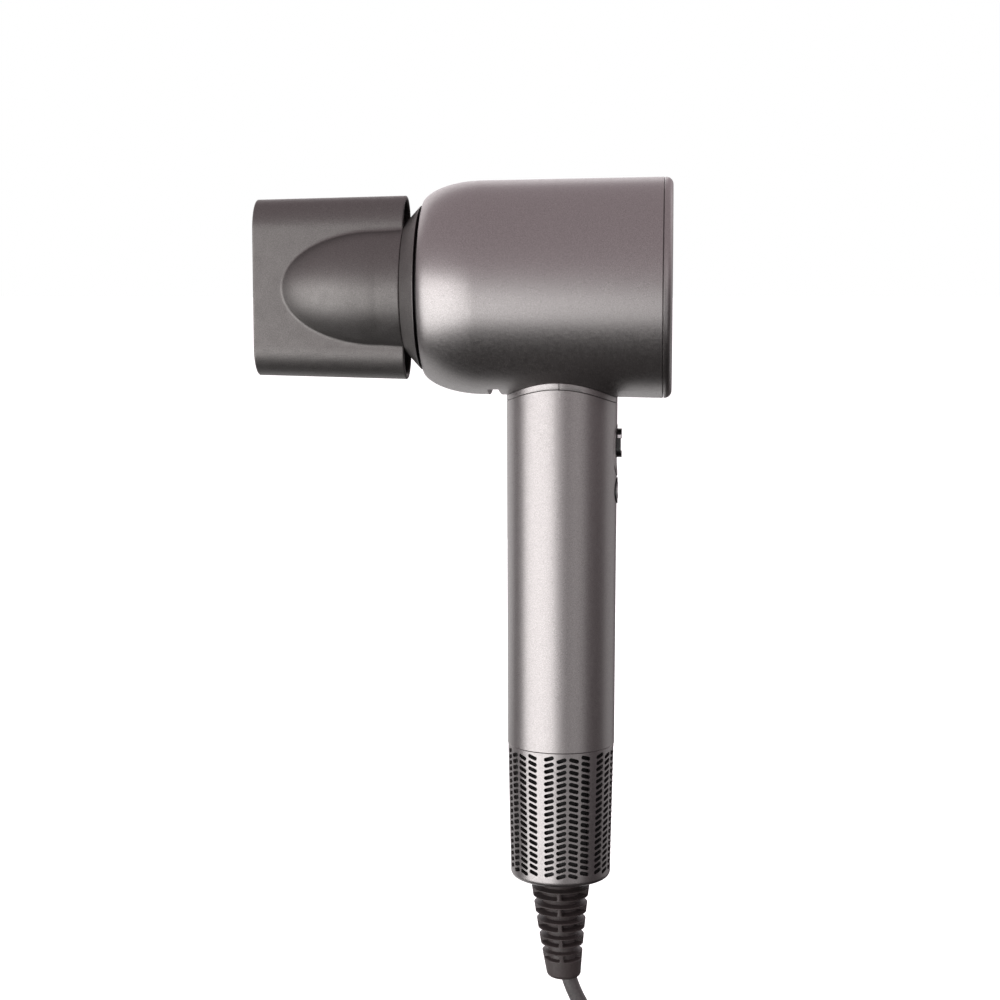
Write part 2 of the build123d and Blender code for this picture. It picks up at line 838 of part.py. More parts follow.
def slot_cutters():
    """Narrow slots in groups of four slanting columns, with plain strips between."""
    depth = 6
    slot = Box(slot_length, depth, slot_width)
    middle = (slots_in_group - 1) / 2
    cutters = []
    for column in range(slot_groups * slots_in_group):
        number = column % slots_in_group
        turn = slot_turn_deg + 360 / slot_groups * (column // slots_in_group)
        turn += slot_pitch_deg * (number - middle)
        tilt = slot_tilt_deg if number > middle else -slot_tilt_deg
        drop = slot_stagger if abs(number - middle) < 1 else 0
        for row in range(slot_rows):
            z = slot_first_z - drop - row * slot_pitch_z
            place = Rot(0, 0, turn) * Pos(0, -sleeve_radius(z), z) * Rot(0, tilt, 0)
            cutters.append(place * slot)
    return cutters


def intake_sleeve():
    """Perforated sleeve with a rounded edge to its floor and a hole for the strain relief."""
    low_r = sleeve_low_r
    outer = (
        Line((sleeve_top_r, sleeve_top_z), (low_r, sleeve_floor_z + sleeve_edge_r))
        + CenterArc((low_r - sleeve_edge_r, sleeve_floor_z + sleeve_edge_r), sleeve_edge_r, 0, -90)
        + Line((low_r - sleeve_edge_r, sleeve_floor_z), (sleeve_hole_r, sleeve_floor_z))
    )
    floor_top = sleeve_floor_z + sleeve_floor_thick
    inner = Polyline(
        (sleeve_hole_r, sleeve_floor_z),
        (sleeve_hole_r, floor_top),
        (low_r - sleeve_edge_r - 0.2, floor_top),
        (low_r - sleeve_wall, sleeve_floor_z + sleeve_edge_r + 0.4),
        (sleeve_top_r - sleeve_wall, sleeve_top_z),
        (sleeve_top_r, sleeve_top_z),
    )
    sleeve = revolve(Plane.XZ * make_face(outer + inner), Axis.Z)
    return sleeve.cut(*slot_cutters())


def mesh_filter():
    """Fine mesh cup that backs the sleeve and slides off with it."""
    low = sleeve_floor_z + sleeve_floor_thick
    wall = tube_z(mesh_r, mesh_r - mesh_thick, low + 1.2, sleeve_top_z - 1.5)
    floor = tube_z(low_mesh_r, sleeve_hole_r + 0.4, low, low + mesh_thick)
    cone = turned_z(
        [
            (low_mesh_r - mesh_thick, low),
            (low_mesh_r, low),
            (mesh_r, low + 1.2),
            (mesh_r - mesh_thick, low + 1.2 + mesh_thick / 2),
        ]
    )
    return wall + floor + cone


low_mesh_r = mesh_r - 1.2


def intake_cage():
    """Open cage under the chassis that carries the sleeve, the relief and the cord clamp."""
    inner = cage_r - cage_wall
    body = tube_z(cage_r, inner, plate_top_z - plate_thick, handle_seam_z)
    head = turned_z(
        [
            (inner, handle_seam_z),
            (cage_r, handle_seam_z),
            (neck_r, handle_seam_z + 1.5),
            (neck_r, chassis_low_z),
            (inner, chassis_low_z),
        ]
    )
    window_top = handle_seam_z - cage_band
    window_low = plate_top_z + cage_band
    window = tube_z(cage_r + 1, inner - 1, window_low, window_top)
    half = math.radians(cage_window_deg / 2)
    far = 30
    wedge = Plane.XY * make_face(
        Polyline(
            (0, 0), (far, -far * math.tan(half)), (far, far * math.tan(half)), close=True
        )
    )
    wedge = Pos(0, 0, window_low - 1) * extrude(wedge, window_top - window_low + 2)
    body += head
    for piece in around_z(window & wedge, cage_windows, 30):
        body -= piece
    plate = rod_z(inner + 0.2, plate_top_z - plate_thick, plate_top_z)
    plate -= rod_z(relief_neck_r + fit_gap, plate_top_z - 5, plate_top_z + 5)
    body += plate
    post_top = clamp_top_z - clamp_height
    for x in (-clamp_screw_x, clamp_screw_x):
        body += rod_z(2.2, plate_top_z - 0.2, post_top, x)
        body -= rod_z(clamp_screw_r - 0.1, post_top - 5, post_top + 1, x)
    return body


def cord_clamp():
    low = clamp_top_z - clamp_height
    bar = block(
        -clamp_half_length, clamp_half_length, -clamp_half_width, clamp_half_width, low, clamp_top_z
    )
    bar -= rod_z(cord_d / 2 + 0.02, low - 1, clamp_top_z + 1)
    for x in (-clamp_screw_x, clamp_screw_x):
        bar -= rod_z(clamp_screw_r + fit_gap, low - 1, clamp_top_z + 1, x)
    return bar


def clamp_screws():
    screws = []
    for x in (-clamp_screw_x, clamp_screw_x):
        shank = rod_z(clamp_screw_r - 0.15, clamp_top_z - clamp_height - 4.0, clamp_top_z, x)
        screws.append(shank + rod_z(2.0, clamp_top_z, clamp_top_z + 1.2, x))
    return group(screws)


# ---------------------------------------------------------------- strain relief, cord and plug
def cord_wire(points):
    """Straight runs joined by the largest tangent arcs that the runs allow."""
    corners = [Vector(*p) for p in points]
    radii = []
    for before, here, after in zip(corners, corners[1:], corners[2:]):
        turn = (here - before).get_angle(after - here)
        short = min((here - before).length, (after - here).length)
        radii.append(0.45 * short / math.tan(math.radians(turn / 2)))
    print("cord arc radii, mm:", [round(r, 1) for r in radii])
    return FilletPolyline(*points, radius=radii)


def cord_tube(points, diameter):
    wire = cord_wire(points)
    start = Plane(origin=wire @ 0, z_dir=wire % 0)
    tube = sweep(start * Circle(diameter / 2), path=wire)
    expected = math.pi * diameter**2 / 4 * wire.length
    print(f"cord tube: length {wire.length:.1f} mm, volume is {tube.volume / expected:.4f} of section x length")
    return tube


def relief_radius(z):
    share = (relief_top_z - z) / (relief_top_z - relief_tip_z)
    return relief_root_r + share * (relief_tip_r - relief_root_r)


def bent(z, shape):
    """Moves a ring of the relief that was drawn on the handle axis out to the bent line."""
    share = max(0.0, (relief_top_z - z) / (relief_top_z - relief_tip_z))
    slope = 2 * relief_lean * share / (relief_top_z - relief_tip_z)
    turn = math.degrees(math.atan(slope))
    return Pos(relief_lean * share**2, 0, z) * Rot(0, -turn, 0) * Pos(0, 0, -z) * shape


def strain_relief():
    """Ribbed rubber sleeve: full grooves, and between them grooves that four webs cross."""
    levels = [relief_top_z]
    levels += [relief_first_groove_z - k * relief_groove_pitch for k in range(relief_groove_count)]
    levels.append(relief_tip_z)
    body = None
    for number, (top, low) in enumerate(zip(levels, levels[1:])):
        tip = number == len(levels) - 2
        top_z = top if number == 0 else top - relief_groove_height / 2
        low_z = low if tip else low + relief_groove_height / 2
        swell = 0.25
        ring = turned_z(
            [
                (0, low_z),
                (relief_radius(low_z) - (1.6 if tip else 0), low_z),
                (relief_radius(low_z) + (0.1 if tip else 0), low_z + (1.6 if tip else 0.4)),
                (relief_radius(top_z) + swell, top_z - 0.5),
                (relief_radius(top_z), top_z),
                (0, top_z),
            ]
        )
        if number > 0:
            window_z = top - relief_groove_pitch / 2
            outer = relief_radius(window_z)
            window = tube_z(
                outer + 2, outer - relief_window_depth, window_z - relief_groove_height / 2,
                window_z + relief_groove_height / 2,
            )
            web = block(-20, 20, -relief_web / 2, relief_web / 2, window_z - 5, window_z + 5)
            ring -= window - web - Rot(0, 0, 90) * web
        if number > 0:
            ring = bent((top_z + low_z) / 2, ring)
        body = ring if body is None else body + ring
        if not tip:
            core = rod_z(relief_radius(low) - relief_groove_depth, low - 1.2, low + 1.2)
            body += bent(low, core)
    body += rod_z(relief_neck_r, relief_top_z - 0.5, plate_top_z)
    body += rod_z(relief_flange_r, plate_top_z, plate_top_z + relief_flange_thick)
    return body - cord_tube(cord_route, cord_d + 0.04)


def coil_ring(grow):
    """The put-away coil's outer form: a ring with a rounded square section."""
    width = coil_columns * cord_d + 2 * grow
    height = coil_rows * cord_d + 2 * grow
    middle_z = floor_z + coil_rows * cord_d / 2
    face = Pos(coil_mean_r, middle_z) * RectangleRounded(width, height, cord_d / 2)
    return Pos(coil_x, coil_y, 0) * revolve(Plane.XZ * face, Axis.Z)


def cord_tie():
    """Strap round the coil, on the side away from the dryer."""
    band = coil_ring(tie_thick) - coil_ring(0)
    band = band & block(coil_x, coil_x + 80, coil_y - tie_width / 2, coil_y + tie_width / 2, floor_z, 0)
    return band


def plug_body():
    """Flat contour plug body that tapers into a tail round the lead."""
    front_x = plug_rear_x - plug_tail - plug_length
    plane = Plane(origin=(front_x, lead_y, plug_z), x_dir=(0, 1, 0), z_dir=(1, 0, 0))
    face = plane * RectangleRounded(plug_width, plug_height, 8)
    body = extrude(face, plug_length)
    body = chamfer(body.faces().sort_by(Axis.X)[0].edges(), 1.0)
    tail_plane = plane.offset(plug_length)
    end_plane = plane.offset(plug_length + plug_tail)
    tail = loft(
        [tail_plane * RectangleRounded(plug_width, plug_height, 8), end_plane * Circle(plug_tail_r)],
        ruled=True,
    )
    return body + tail - rod_x(cord_d / 2 + 0.02, plug_rear_x - 8, plug_rear_x + 1, lead_y, plug_z)


def plug_pins():
    front_x = plug_rear_x - plug_tail - plug_length
    pins = []
    for side in (-1, 1):
        y = lead_y + side * pin_spacing / 2
        pin = rod_x(pin_r, front_x - pin_length, front_x, y, plug_z)
        pins.append(fillet(pin.edges().sort_by(Axis.X)[0], 1.2))
    return group(pins)


# ---------------------------------------------------------------- the pieces
def main():
    os.makedirs("parts", exist_ok=True)
    pieces = {
        "barrel_shell": barrel_shell,
        "rear_ring": rear_ring,
        "inner_duct": inner_duct,
        "outlet_ring": outlet_ring,
        "barrel_magnets": lambda: magnets(outlet_x),
        "heater_frame": heater_frame,
        "heater_wires": lambda: group(heater_wires(coil_wire_r)),
        "heat_shield": heat_shield,
        "heater_board": heater_board,
        "thermostat": thermostat,
        "thermal_fuse": thermal_fuse,
        "ion_module": ion_module,
        "neck_screws": neck_screws,
        "nozzle_mount_ring": nozzle_mount_ring,
        "nozzle_magnets": lambda: magnets(outlet_x - 0.25 - magnet_thick),
        "nozzle_collar": nozzle_collar,
        "nozzle_body": nozzle_body,
        "nozzle_duct": nozzle_duct,
        "nozzle_vanes": nozzle_vanes,
        "handle_collar": handle_collar,
        "handle_tube": handle_tube,
        "handle_chassis": handle_chassis,
        "switch_bezel": switch_bezel,
        "power_slider": power_slider,
        "slider_strip": slider_strip,
        "button_ring": button_ring,
        "cold_button": cold_button,
        "switch_board": switch_board,
        "slide_switch_body": slide_switch_body,
        "push_switch": push_switch,
        "motor_mount_upper": lambda: motor_mount(motor_top_z - mount_height - 1),
        "motor_mount_lower": lambda: motor_mount(motor_low_z + 1),
        "motor_housing": motor_housing,
        "motor_cap": motor_cap,
        "motor_bearings": motor_bearings,
        "stator_core": stator_core,
        "stator_windings": stator_windings,
        "motor_board": motor_board,
        "rotor_shaft": rotor_shaft,
        "rotor_magnet": rotor_magnet,
        "impeller": impeller,
        "intake_cage": intake_cage,
        "intake_sleeve": intake_sleeve,
        "mesh_filter": mesh_filter,
        "cord_clamp": cord_clamp,
        "clamp_screws": clamp_screws,
        "strain_relief": strain_relief,
        "power_cord": lambda: cord_tube(cord_route, cord_d),
        "cord_coil": lambda: coil_ring(0),
        "cord_tie": cord_tie,
        "plug_lead": lambda: cord_tube(lead_route, cord_d),
        "plug_body": plug_body,
        "plug_pins": plug_pins,
    }
    for name, make in pieces.items():
        export(make(), name)


main()
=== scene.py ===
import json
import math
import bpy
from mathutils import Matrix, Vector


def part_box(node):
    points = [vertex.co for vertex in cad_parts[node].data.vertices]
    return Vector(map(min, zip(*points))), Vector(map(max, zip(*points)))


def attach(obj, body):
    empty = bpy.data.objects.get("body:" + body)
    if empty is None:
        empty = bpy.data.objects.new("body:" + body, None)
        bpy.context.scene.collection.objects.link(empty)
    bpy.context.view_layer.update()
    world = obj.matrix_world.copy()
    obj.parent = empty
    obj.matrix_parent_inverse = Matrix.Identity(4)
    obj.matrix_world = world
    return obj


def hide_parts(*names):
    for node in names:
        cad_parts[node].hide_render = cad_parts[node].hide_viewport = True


bl_info = {
    "name": "Slim hair dryer",
    "version": (1, 0, 0),
    "blender": (4, 5, 0),
    "location": "3D View > Sidebar > Hair dryer",
    "description": "Builds the finished looks of a slim hair dryer round its fixed CAD frame",
    "category": "Add Mesh",
}

import bmesh
import bpy
from mathutils import Vector

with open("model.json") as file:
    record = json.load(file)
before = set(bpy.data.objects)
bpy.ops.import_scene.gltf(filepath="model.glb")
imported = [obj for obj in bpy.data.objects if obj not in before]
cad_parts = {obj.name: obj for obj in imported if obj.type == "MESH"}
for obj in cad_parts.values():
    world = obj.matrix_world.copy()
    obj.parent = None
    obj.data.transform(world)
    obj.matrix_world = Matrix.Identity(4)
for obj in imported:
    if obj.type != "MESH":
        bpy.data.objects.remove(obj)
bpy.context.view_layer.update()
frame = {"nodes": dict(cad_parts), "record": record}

MM = 0.001


# ---------------------------------------------------------------- places read from the frame
boxes = {}


def box_of(node):
    """The node's lowest and highest corners, measured once."""
    if node not in boxes:
        boxes[node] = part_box(node)
    return boxes[node]


def low(node):
    return box_of(node)[0]


def high(node):
    return box_of(node)[1]


def middle(node):
    return (low(node) + high(node)) / 2


axis_z = middle("rear_ring").z  # height of the barrel's axis
floor_z = low("cord_coil").z
seam_x = high("barrel_shell").x
rear_x = high("rear_ring").x
nozzle_front_x = low("nozzle_body").x
nozzle_rear_x = high("nozzle_body").x
tube_low_z = low("handle_tube").z
sleeve_low_z = low("intake_sleeve").z
sleeve_top_z = high("intake_sleeve").z
coil_centre = middle("cord_coil")
coil_outer_r = (high("cord_coil").x - low("cord_coil").x) / 2
plug_centre = middle("plug_body")
relief_tip_z = low("strain_relief").z


# ---------------------------------------------------------------- settings
class PaintSettings(bpy.types.PropertyGroup):
    body: bpy.props.FloatVectorProperty(
        name="Body paint",
        description="Warm grey metallic paint of the barrel, the handle and the sleeve",
        subtype="COLOR", size=3, min=0, max=1, default=(0.3, 0.283, 0.28),
    )
    nozzle: bpy.props.FloatVectorProperty(
        name="Nozzle",
        description="Dark satin plastic of the nozzle and its collar",
        subtype="COLOR", size=3, min=0, max=1, default=(0.148, 0.14, 0.136),
    )
    rubber: bpy.props.FloatVectorProperty(
        name="Relief rubber",
        description="Warm dark rubber of the strain relief",
        subtype="COLOR", size=3, min=0, max=1, default=(0.045, 0.036, 0.035),
    )
    cord: bpy.props.FloatVectorProperty(
        name="Cord",
        description="Grey jacket of the cord",
        subtype="COLOR", size=3, min=0, max=1, default=(0.08, 0.075, 0.074),
    )


class BarrelSettings(bpy.types.PropertyGroup):
    front_r: bpy.props.FloatProperty(
        name="Front radius", description="Radius where the shoulder starts",
        default=37.3 * MM, unit="LENGTH",
    )
    shoulder_x: bpy.props.FloatProperty(
        name="Shoulder", description="Where the shoulder starts along the barrel",
        default=-27.0 * MM, unit="LENGTH",
    )
    nose_x: bpy.props.FloatProperty(
        name="Nose", description="Where the shoulder's curve would end",
        default=-49.0 * MM, unit="LENGTH",
    )
    shoulder_drop: bpy.props.FloatProperty(
        name="Shoulder drop", description="How far the shoulder's curve falls",
        default=9.3 * MM, unit="LENGTH",
    )
    mouth_r: bpy.props.FloatProperty(
        name="Mouth radius", description="Radius of the opening in the front",
        default=31.1 * MM, unit="LENGTH",
    )
    wall: bpy.props.FloatProperty(
        name="Wall", description="Thickness of the shell", default=2.0 * MM, unit="LENGTH",
    )
    edge: bpy.props.FloatProperty(
        name="Edge", description="Radius of the small edges along the seams",
        default=0.25 * MM, unit="LENGTH",
    )
    bore_r: bpy.props.FloatProperty(
        name="Bore radius", description="Radius of the hollow through the barrel",
        default=19.5 * MM, unit="LENGTH",
    )
    groove_front_x: bpy.props.FloatProperty(
        name="Groove front", description="Front wall of the groove under the barrel",
        default=-25.3 * MM, unit="LENGTH",
    )
    groove_rear_x: bpy.props.FloatProperty(
        name="Groove rear", description="Rear wall of the groove under the barrel",
        default=-20.8 * MM, unit="LENGTH",
    )
    groove_span: bpy.props.FloatProperty(
        name="Groove span", description="Length of the groove across the barrel",
        default=30.0 * MM, unit="LENGTH",
    )
    groove_depth: bpy.props.FloatProperty(
        name="Groove depth", description="Depth of the groove", default=2.4 * MM, unit="LENGTH",
    )


class NozzleSettings(bpy.types.PropertyGroup):
    half_thick: bpy.props.FloatProperty(
        name="Half thickness", description="Half the thickness of the flat sleeve",
        default=10.5 * MM, unit="LENGTH",
    )
    front_half: bpy.props.FloatProperty(
        name="Front half height", description="Half the height of the sleeve at its front",
        default=30.9 * MM, unit="LENGTH",
    )
    bulge_rear_r: bpy.props.FloatProperty(
        name="Bulge rear radius", description="Radius of the round body where it meets the collar",
        default=22.75 * MM, unit="LENGTH",
    )
    bulge_r: bpy.props.FloatProperty(
        name="Bulge radius", description="Radius of the round body before it closes",
        default=22.3 * MM, unit="LENGTH",
    )
    bulge_straight: bpy.props.FloatProperty(
        name="Straight stretch", description="Length of the round body before it starts to close",
        default=8.4 * MM, unit="LENGTH",
    )
    bulge_reach: bpy.props.FloatProperty(
        name="Bulge reach", description="Length over which the round body closes",
        default=39.1 * MM, unit="LENGTH",
    )
    blend: bpy.props.FloatProperty(
        name="Crease", description="How softly the bulge runs into the flat side",
        default=0.6 * MM, unit="LENGTH",
    )
    wall: bpy.props.FloatProperty(
        name="Wall", description="Thickness of the sleeve", default=1.6 * MM, unit="LENGTH",
    )


class HandleSettings(bpy.types.PropertyGroup):
    radius: bpy.props.FloatProperty(
        name="Radius", description="Radius of the handle's upper stretch",
        default=19.5 * MM, unit="LENGTH",
    )
    low_radius: bpy.props.FloatProperty(
        name="Low radius", description="Radius of the handle at its seam",
        default=19.05 * MM, unit="LENGTH",
    )
    band: bpy.props.FloatProperty(
        name="Saddle band", description="Height of the band under the barrel",
        default=2.0 * MM, unit="LENGTH",
    )
    seam: bpy.props.FloatProperty(
        name="Seam", description="Width of the seam under the band", default=0.1 * MM, unit="LENGTH",
    )
    wall: bpy.props.FloatProperty(
        name="Wall", description="Thickness of the tube", default=1.5 * MM, unit="LENGTH",
    )


class SleeveSettings(bpy.types.PropertyGroup):
    rows: bpy.props.IntProperty(name="Rows", description="Slots in a column", default=20, min=1)
    groups: bpy.props.IntProperty(name="Groups", description="Groups of columns", default=6, min=1)
    columns: bpy.props.IntProperty(name="Columns", description="Columns in a group", default=4, min=1)
    pitch: bpy.props.FloatProperty(
        name="Row pitch", description="Distance between rows", default=2.205 * MM, unit="LENGTH",
    )
    column_pitch: bpy.props.FloatProperty(
        name="Column pitch", description="Angle between columns",
        default=math.radians(13.6), subtype="ANGLE",
    )
    turn: bpy.props.FloatProperty(
        name="Turn", description="Where the nearest group is centred",
        default=math.radians(10.7), subtype="ANGLE",
    )
    stagger: bpy.props.FloatProperty(
        name="Stagger", description="How much lower the inner columns sit",
        default=0.65 * MM, unit="LENGTH",
    )
    first_drop: bpy.props.FloatProperty(
        name="First row", description="From the sleeve's top down to the first row",
        default=2.0 * MM, unit="LENGTH",
    )
    length: bpy.props.FloatProperty(
        name="Slot length", description="End to end", default=3.7 * MM, unit="LENGTH",
    )
    width: bpy.props.FloatProperty(
        name="Slot width", description="Across the slot", default=1.45 * MM, unit="LENGTH",
    )
    tilt: bpy.props.FloatProperty(
        name="Slot tilt", description="How far the slots slant", default=math.radians(17), subtype="ANGLE",
    )
    wall: bpy.props.FloatProperty(
        name="Wall", description="Thickness of the sleeve", default=1.1 * MM, unit="LENGTH",
    )


class ReliefSettings(bpy.types.PropertyGroup):
    first_drop: bpy.props.FloatProperty(
        name="First groove", description="From the relief's top down to the first groove",
        default=5.2 * MM, unit="LENGTH",
    )
    pitch: bpy.props.FloatProperty(
        name="Groove pitch", description="Between full grooves", default=5.95 * MM, unit="LENGTH",
    )
    grooves: bpy.props.IntProperty(name="Grooves", description="Full grooves", default=5, min=1)
    groove: bpy.props.FloatProperty(
        name="Groove height", description="Height of a groove", default=2.15 * MM, unit="LENGTH",
    )
    depth: bpy.props.FloatProperty(
        name="Groove depth", description="Depth of a groove", default=3.0 * MM, unit="LENGTH",
    )
    web: bpy.props.FloatProperty(
        name="Web", description="Width of the webs that cross the windows",
        default=1.8 * MM, unit="LENGTH",
    )
    lean: bpy.props.FloatProperty(
        name="Lean", description="How far the tip is bent to the rear", default=1.4 * MM, unit="LENGTH",
    )
    root_r: bpy.props.FloatProperty(
        name="Root radius", description="Radius under the sleeve", default=11.25 * MM, unit="LENGTH",
    )
    tip_r: bpy.props.FloatProperty(
        name="Tip radius", description="Radius at the tip", default=5.7 * MM, unit="LENGTH",
    )
    tip_share: bpy.props.FloatProperty(
        name="Tip depth", description="Share of the grooves' depth that is left at the tip",
        default=0.45, min=0, max=1,
    )
    fade_height: bpy.props.FloatProperty(
        name="Fade height", description="Height over the tip from which the grooves are full depth",
        default=22 * MM, unit="LENGTH",
    )


class CordSettings(bpy.types.PropertyGroup):
    length: bpy.props.FloatProperty(
        name="Length", description="Real length of the cord", default=1.8, unit="LENGTH",
    )
    diameter: bpy.props.FloatProperty(
        name="Diameter", description="Diameter of the cord", default=5.6 * MM, unit="LENGTH",
    )


settings_of = {
    "paint": PaintSettings,
    "barrel": BarrelSettings,
    "nozzle": NozzleSettings,
    "handle": HandleSettings,
    "sleeve": SleeveSettings,
    "relief": ReliefSettings,
    "cord": CordSettings,
}


def settings(name):
    return getattr(bpy.context.scene, "dryer_" + name)


# ---------------------------------------------------------------- mesh helpers
SHARP_ANGLE = 35.0  # degrees, past which an edge is shown sharp


def new_object(name, vertices, faces, sharp=SHARP_ANGLE):
    """A piece with merged points, outward faces and smooth sides between its sharp edges."""
    mesh = bpy.data.meshes.new(name)
    mesh.from_pydata([Vector(v) for v in vertices], [], faces)
    shape = bmesh.new()
    shape.from_mesh(mesh)
    bmesh.ops.remove_doubles(shape, verts=shape.verts, dist=1e-6)
    bmesh.ops.dissolve_degenerate(shape, edges=shape.edges, dist=1e-7)
    bmesh.ops.recalc_face_normals(shape, faces=shape.faces)
    shape.to_mesh(mesh)
    shape.free()
    mesh.shade_smooth()
    mesh.set_sharp_from_angle(angle=math.radians(sharp))
    piece = bpy.data.objects.new(name, mesh)
    bpy.context.scene.collection.objects.link(piece)
    return piece


def settle(piece):
    """Applies the piece's modifiers and marks its sharp edges again."""
    graph = bpy.context.evaluated_depsgraph_get()
    graph.update()
    mesh = bpy.data.meshes.new_from_object(piece.evaluated_get(graph))
    piece.modifiers.clear()
    piece.data = mesh
    mesh.shade_smooth()
    mesh.set_sharp_from_angle(angle=math.radians(SHARP_ANGLE))


def round_corners(outline, radius, steps=4):
    """A closed outline whose corners are rounded, each as far as its sides allow."""
    rounded = []
    count = len(outline)
    for k, corner in enumerate(outline):
        here = Vector(corner)
        before = Vector(outline[k - 1]) - here
        after = Vector(outline[(k + 1) % count]) - here
        turn = before.angle(after)
        if turn > math.radians(160):
            rounded.append(tuple(here))
            continue
        reach = min(radius / math.tan(turn / 2), 0.45 * before.length, 0.45 * after.length)
        start = here + before.normalized() * reach
        end = here + after.normalized() * reach
        for step in range(steps + 1):
            t = step / steps
            point = start * (1 - t) ** 2 + here * 2 * t * (1 - t) + end * t**2
            rounded.append(tuple(point))
    return rounded


def ring_faces(count, around):
    """Faces between rings of as many points each, the last ring joined to the first."""
    faces = []
    for j in range(count):
        for k in range(around):
            a, b = j * around, ((j + 1) % count) * around
            n = (k + 1) % around
            faces.append((a + k, a + n, b + n, b + k))
    return faces


def turned(name, outline, along, segments=160):
    """Turns a closed outline of (place along the axis, radius) points round the barrel or the handle."""
    vertices = []
    for k in range(segments):
        angle = 2 * math.pi * k / segments
        for place, radius in outline:
            across, up = radius * math.cos(angle), radius * math.sin(angle)
            if along == "barrel":
                vertices.append((place, across, axis_z + up))
            else:
                vertices.append((across, up, place))
    count = len(outline)
    faces = []
    for k in range(segments):
        for j in range(count):
            i = (j + 1) % count
            n = (k + 1) % segments
            faces.append((k * count + j, k * count + i, n * count + i, n * count + j))
    return new_object(name, vertices, faces)


def ellipse_arc(centre, half_along, half_up, first, last, steps):
    """Points of an ellipse's arc, as (along, radius), between two angles in degrees."""
    points = []
    for k in range(steps + 1):
        angle = math.radians(first + (last - first) * k / steps)
        points.append((centre[0] + half_along * math.cos(angle), centre[1] + half_up * math.sin(angle)))
    return points


def stadium_prism(name, centre, half_height, half_width, depth, steps=16):
    """Upright round-ended prism along X, used as a cutter."""
    profile = []
    for k in range(2 * steps + 2):
        side = 1 if k <= steps else -1
        angle = math.pi * (k if side > 0 else k - 1) / steps
        across = half_width * math.cos(angle)
        up = half_width * math.sin(angle) + side * (half_height - half_width)
        profile.append((across, up))
    vertices = [
        (centre[0] + end * depth / 2, centre[1] + across, centre[2] + up)
        for end in (-1, 1)
        for across, up in profile
    ]
    count = len(profile)
    faces = [tuple(range(count)), tuple(range(count, 2 * count))]
    faces += [(k, (k + 1) % count, count + (k + 1) % count, count + k) for k in range(count)]
    return new_object(name, vertices, faces)


def cut(piece, cutter):
    """Cuts one piece out of another, and removes the cutter."""
    modifier = piece.modifiers.new("cut", "BOOLEAN")
    modifier.operation = "DIFFERENCE"
    modifier.solver = "MANIFOLD"
    modifier.object = cutter
    settle(piece)
    bpy.data.objects.remove(cutter)


def finish_piece(piece, finish, slot, body, *nodes):
    """Gives a piece its finish and its body, and hides the CAD nodes that it stands for."""
    if finish is not None:
        piece.data.materials.clear()
        piece.data.materials.append(finish)
    if nodes:
        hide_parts(*nodes)
    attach(piece, body)
    return piece


# ---------------------------------------------------------------- finishes
def new_finish(name):
    finish = bpy.data.materials.new(name)
    finish.use_nodes = True
    tree = finish.node_tree
    shader = tree.nodes["Principled BSDF"]
    return finish, tree, shader


def noise(tree, scale, detail):
    """Noise on Object coordinates, scale in lumps per metre."""
    where = tree.nodes.new("ShaderNodeTexCoord")
    texture = tree.nodes.new("ShaderNodeTexNoise")
    texture.inputs["Scale"].default_value = scale
    texture.inputs["Detail"].default_value = detail
    tree.links.new(where.outputs["Object"], texture.inputs["Vector"])
    return texture


def spread(tree, texture, low_value, high_value):
    """The middle of the texture's range stretched between two numbers."""
    ranged = tree.nodes.new("ShaderNodeMapRange")
    ranged.inputs["From Min"].default_value = 0.3
    ranged.inputs["From Max"].default_value = 0.7
    ranged.inputs["To Min"].default_value = low_value
    ranged.inputs["To Max"].default_value = high_value
    tree.links.new(texture.outputs["Fac"], ranged.inputs["Value"])
    return ranged.outputs["Result"]


def two_colours(tree, texture, first, second):
    """A colour that wanders between two with the texture."""
    mix = tree.nodes.new("ShaderNodeMix")
    mix.data_type = "RGBA"
    mix.inputs["A"].default_value = (*first, 1)
    mix.inputs["B"].default_value = (*second, 1)
    tree.links.new(spread(tree, texture, 0, 1), mix.inputs["Factor"])
    return mix.outputs["Result"]


def bumps(tree, shader, texture, height, strength):
    """Small bumps of a height in metres, where the texture is bright."""
    bump = tree.nodes.new("ShaderNodeBump")
    bump.inputs["Strength"].default_value = strength
    bump.inputs["Distance"].default_value = height
    tree.links.new(texture.outputs["Fac"], bump.inputs["Height"])
    tree.links.new(bump.outputs["Normal"], shader.inputs["Normal"])


def scaled(colour, factor):
    return tuple(min(1.0, c * factor) for c in colour)


def metallic_paint():
    """Satin paint full of fine metal flakes."""
    colour = tuple(settings("paint").body)
    finish, tree, shader = new_finish("metallic_paint")
    flakes = noise(tree, 5200, 1.0)
    tree.links.new(
        two_colours(tree, flakes, scaled(colour, 0.78), scaled(colour, 1.28)), shader.inputs["Base Color"]
    )
    patches = noise(tree, 900, 2.0)
    tree.links.new(spread(tree, patches, 0.35, 0.41), shader.inputs["Roughness"])
    bumps(tree, shader, flakes, 0.01 * MM, 0.6)
    shader.inputs["Metallic"].default_value = 1.0
    shader.inputs["Coat Weight"].default_value = 0.12
    shader.inputs["Coat Roughness"].default_value = 0.25
    return finish


def satin_plastic():
    """Dark moulded plastic with a faint grain."""
    colour = tuple(settings("paint").nozzle)
    finish, tree, shader = new_finish("satin_plastic")
    grain = noise(tree, 3600, 2.0)
    tree.links.new(
        two_colours(tree, grain, scaled(colour, 0.8), scaled(colour, 1.22)), shader.inputs["Base Color"]
    )
    patches = noise(tree, 260, 3.0)
    tree.links.new(spread(tree, patches, 0.45, 0.52), shader.inputs["Roughness"])
    bumps(tree, shader, grain, 0.02 * MM, 0.6)
    shader.inputs["Metallic"].default_value = 0.9
    return finish


MOULDED_GRAIN = 0.02 * MM
POLISHED_GRAIN = 0.004 * MM


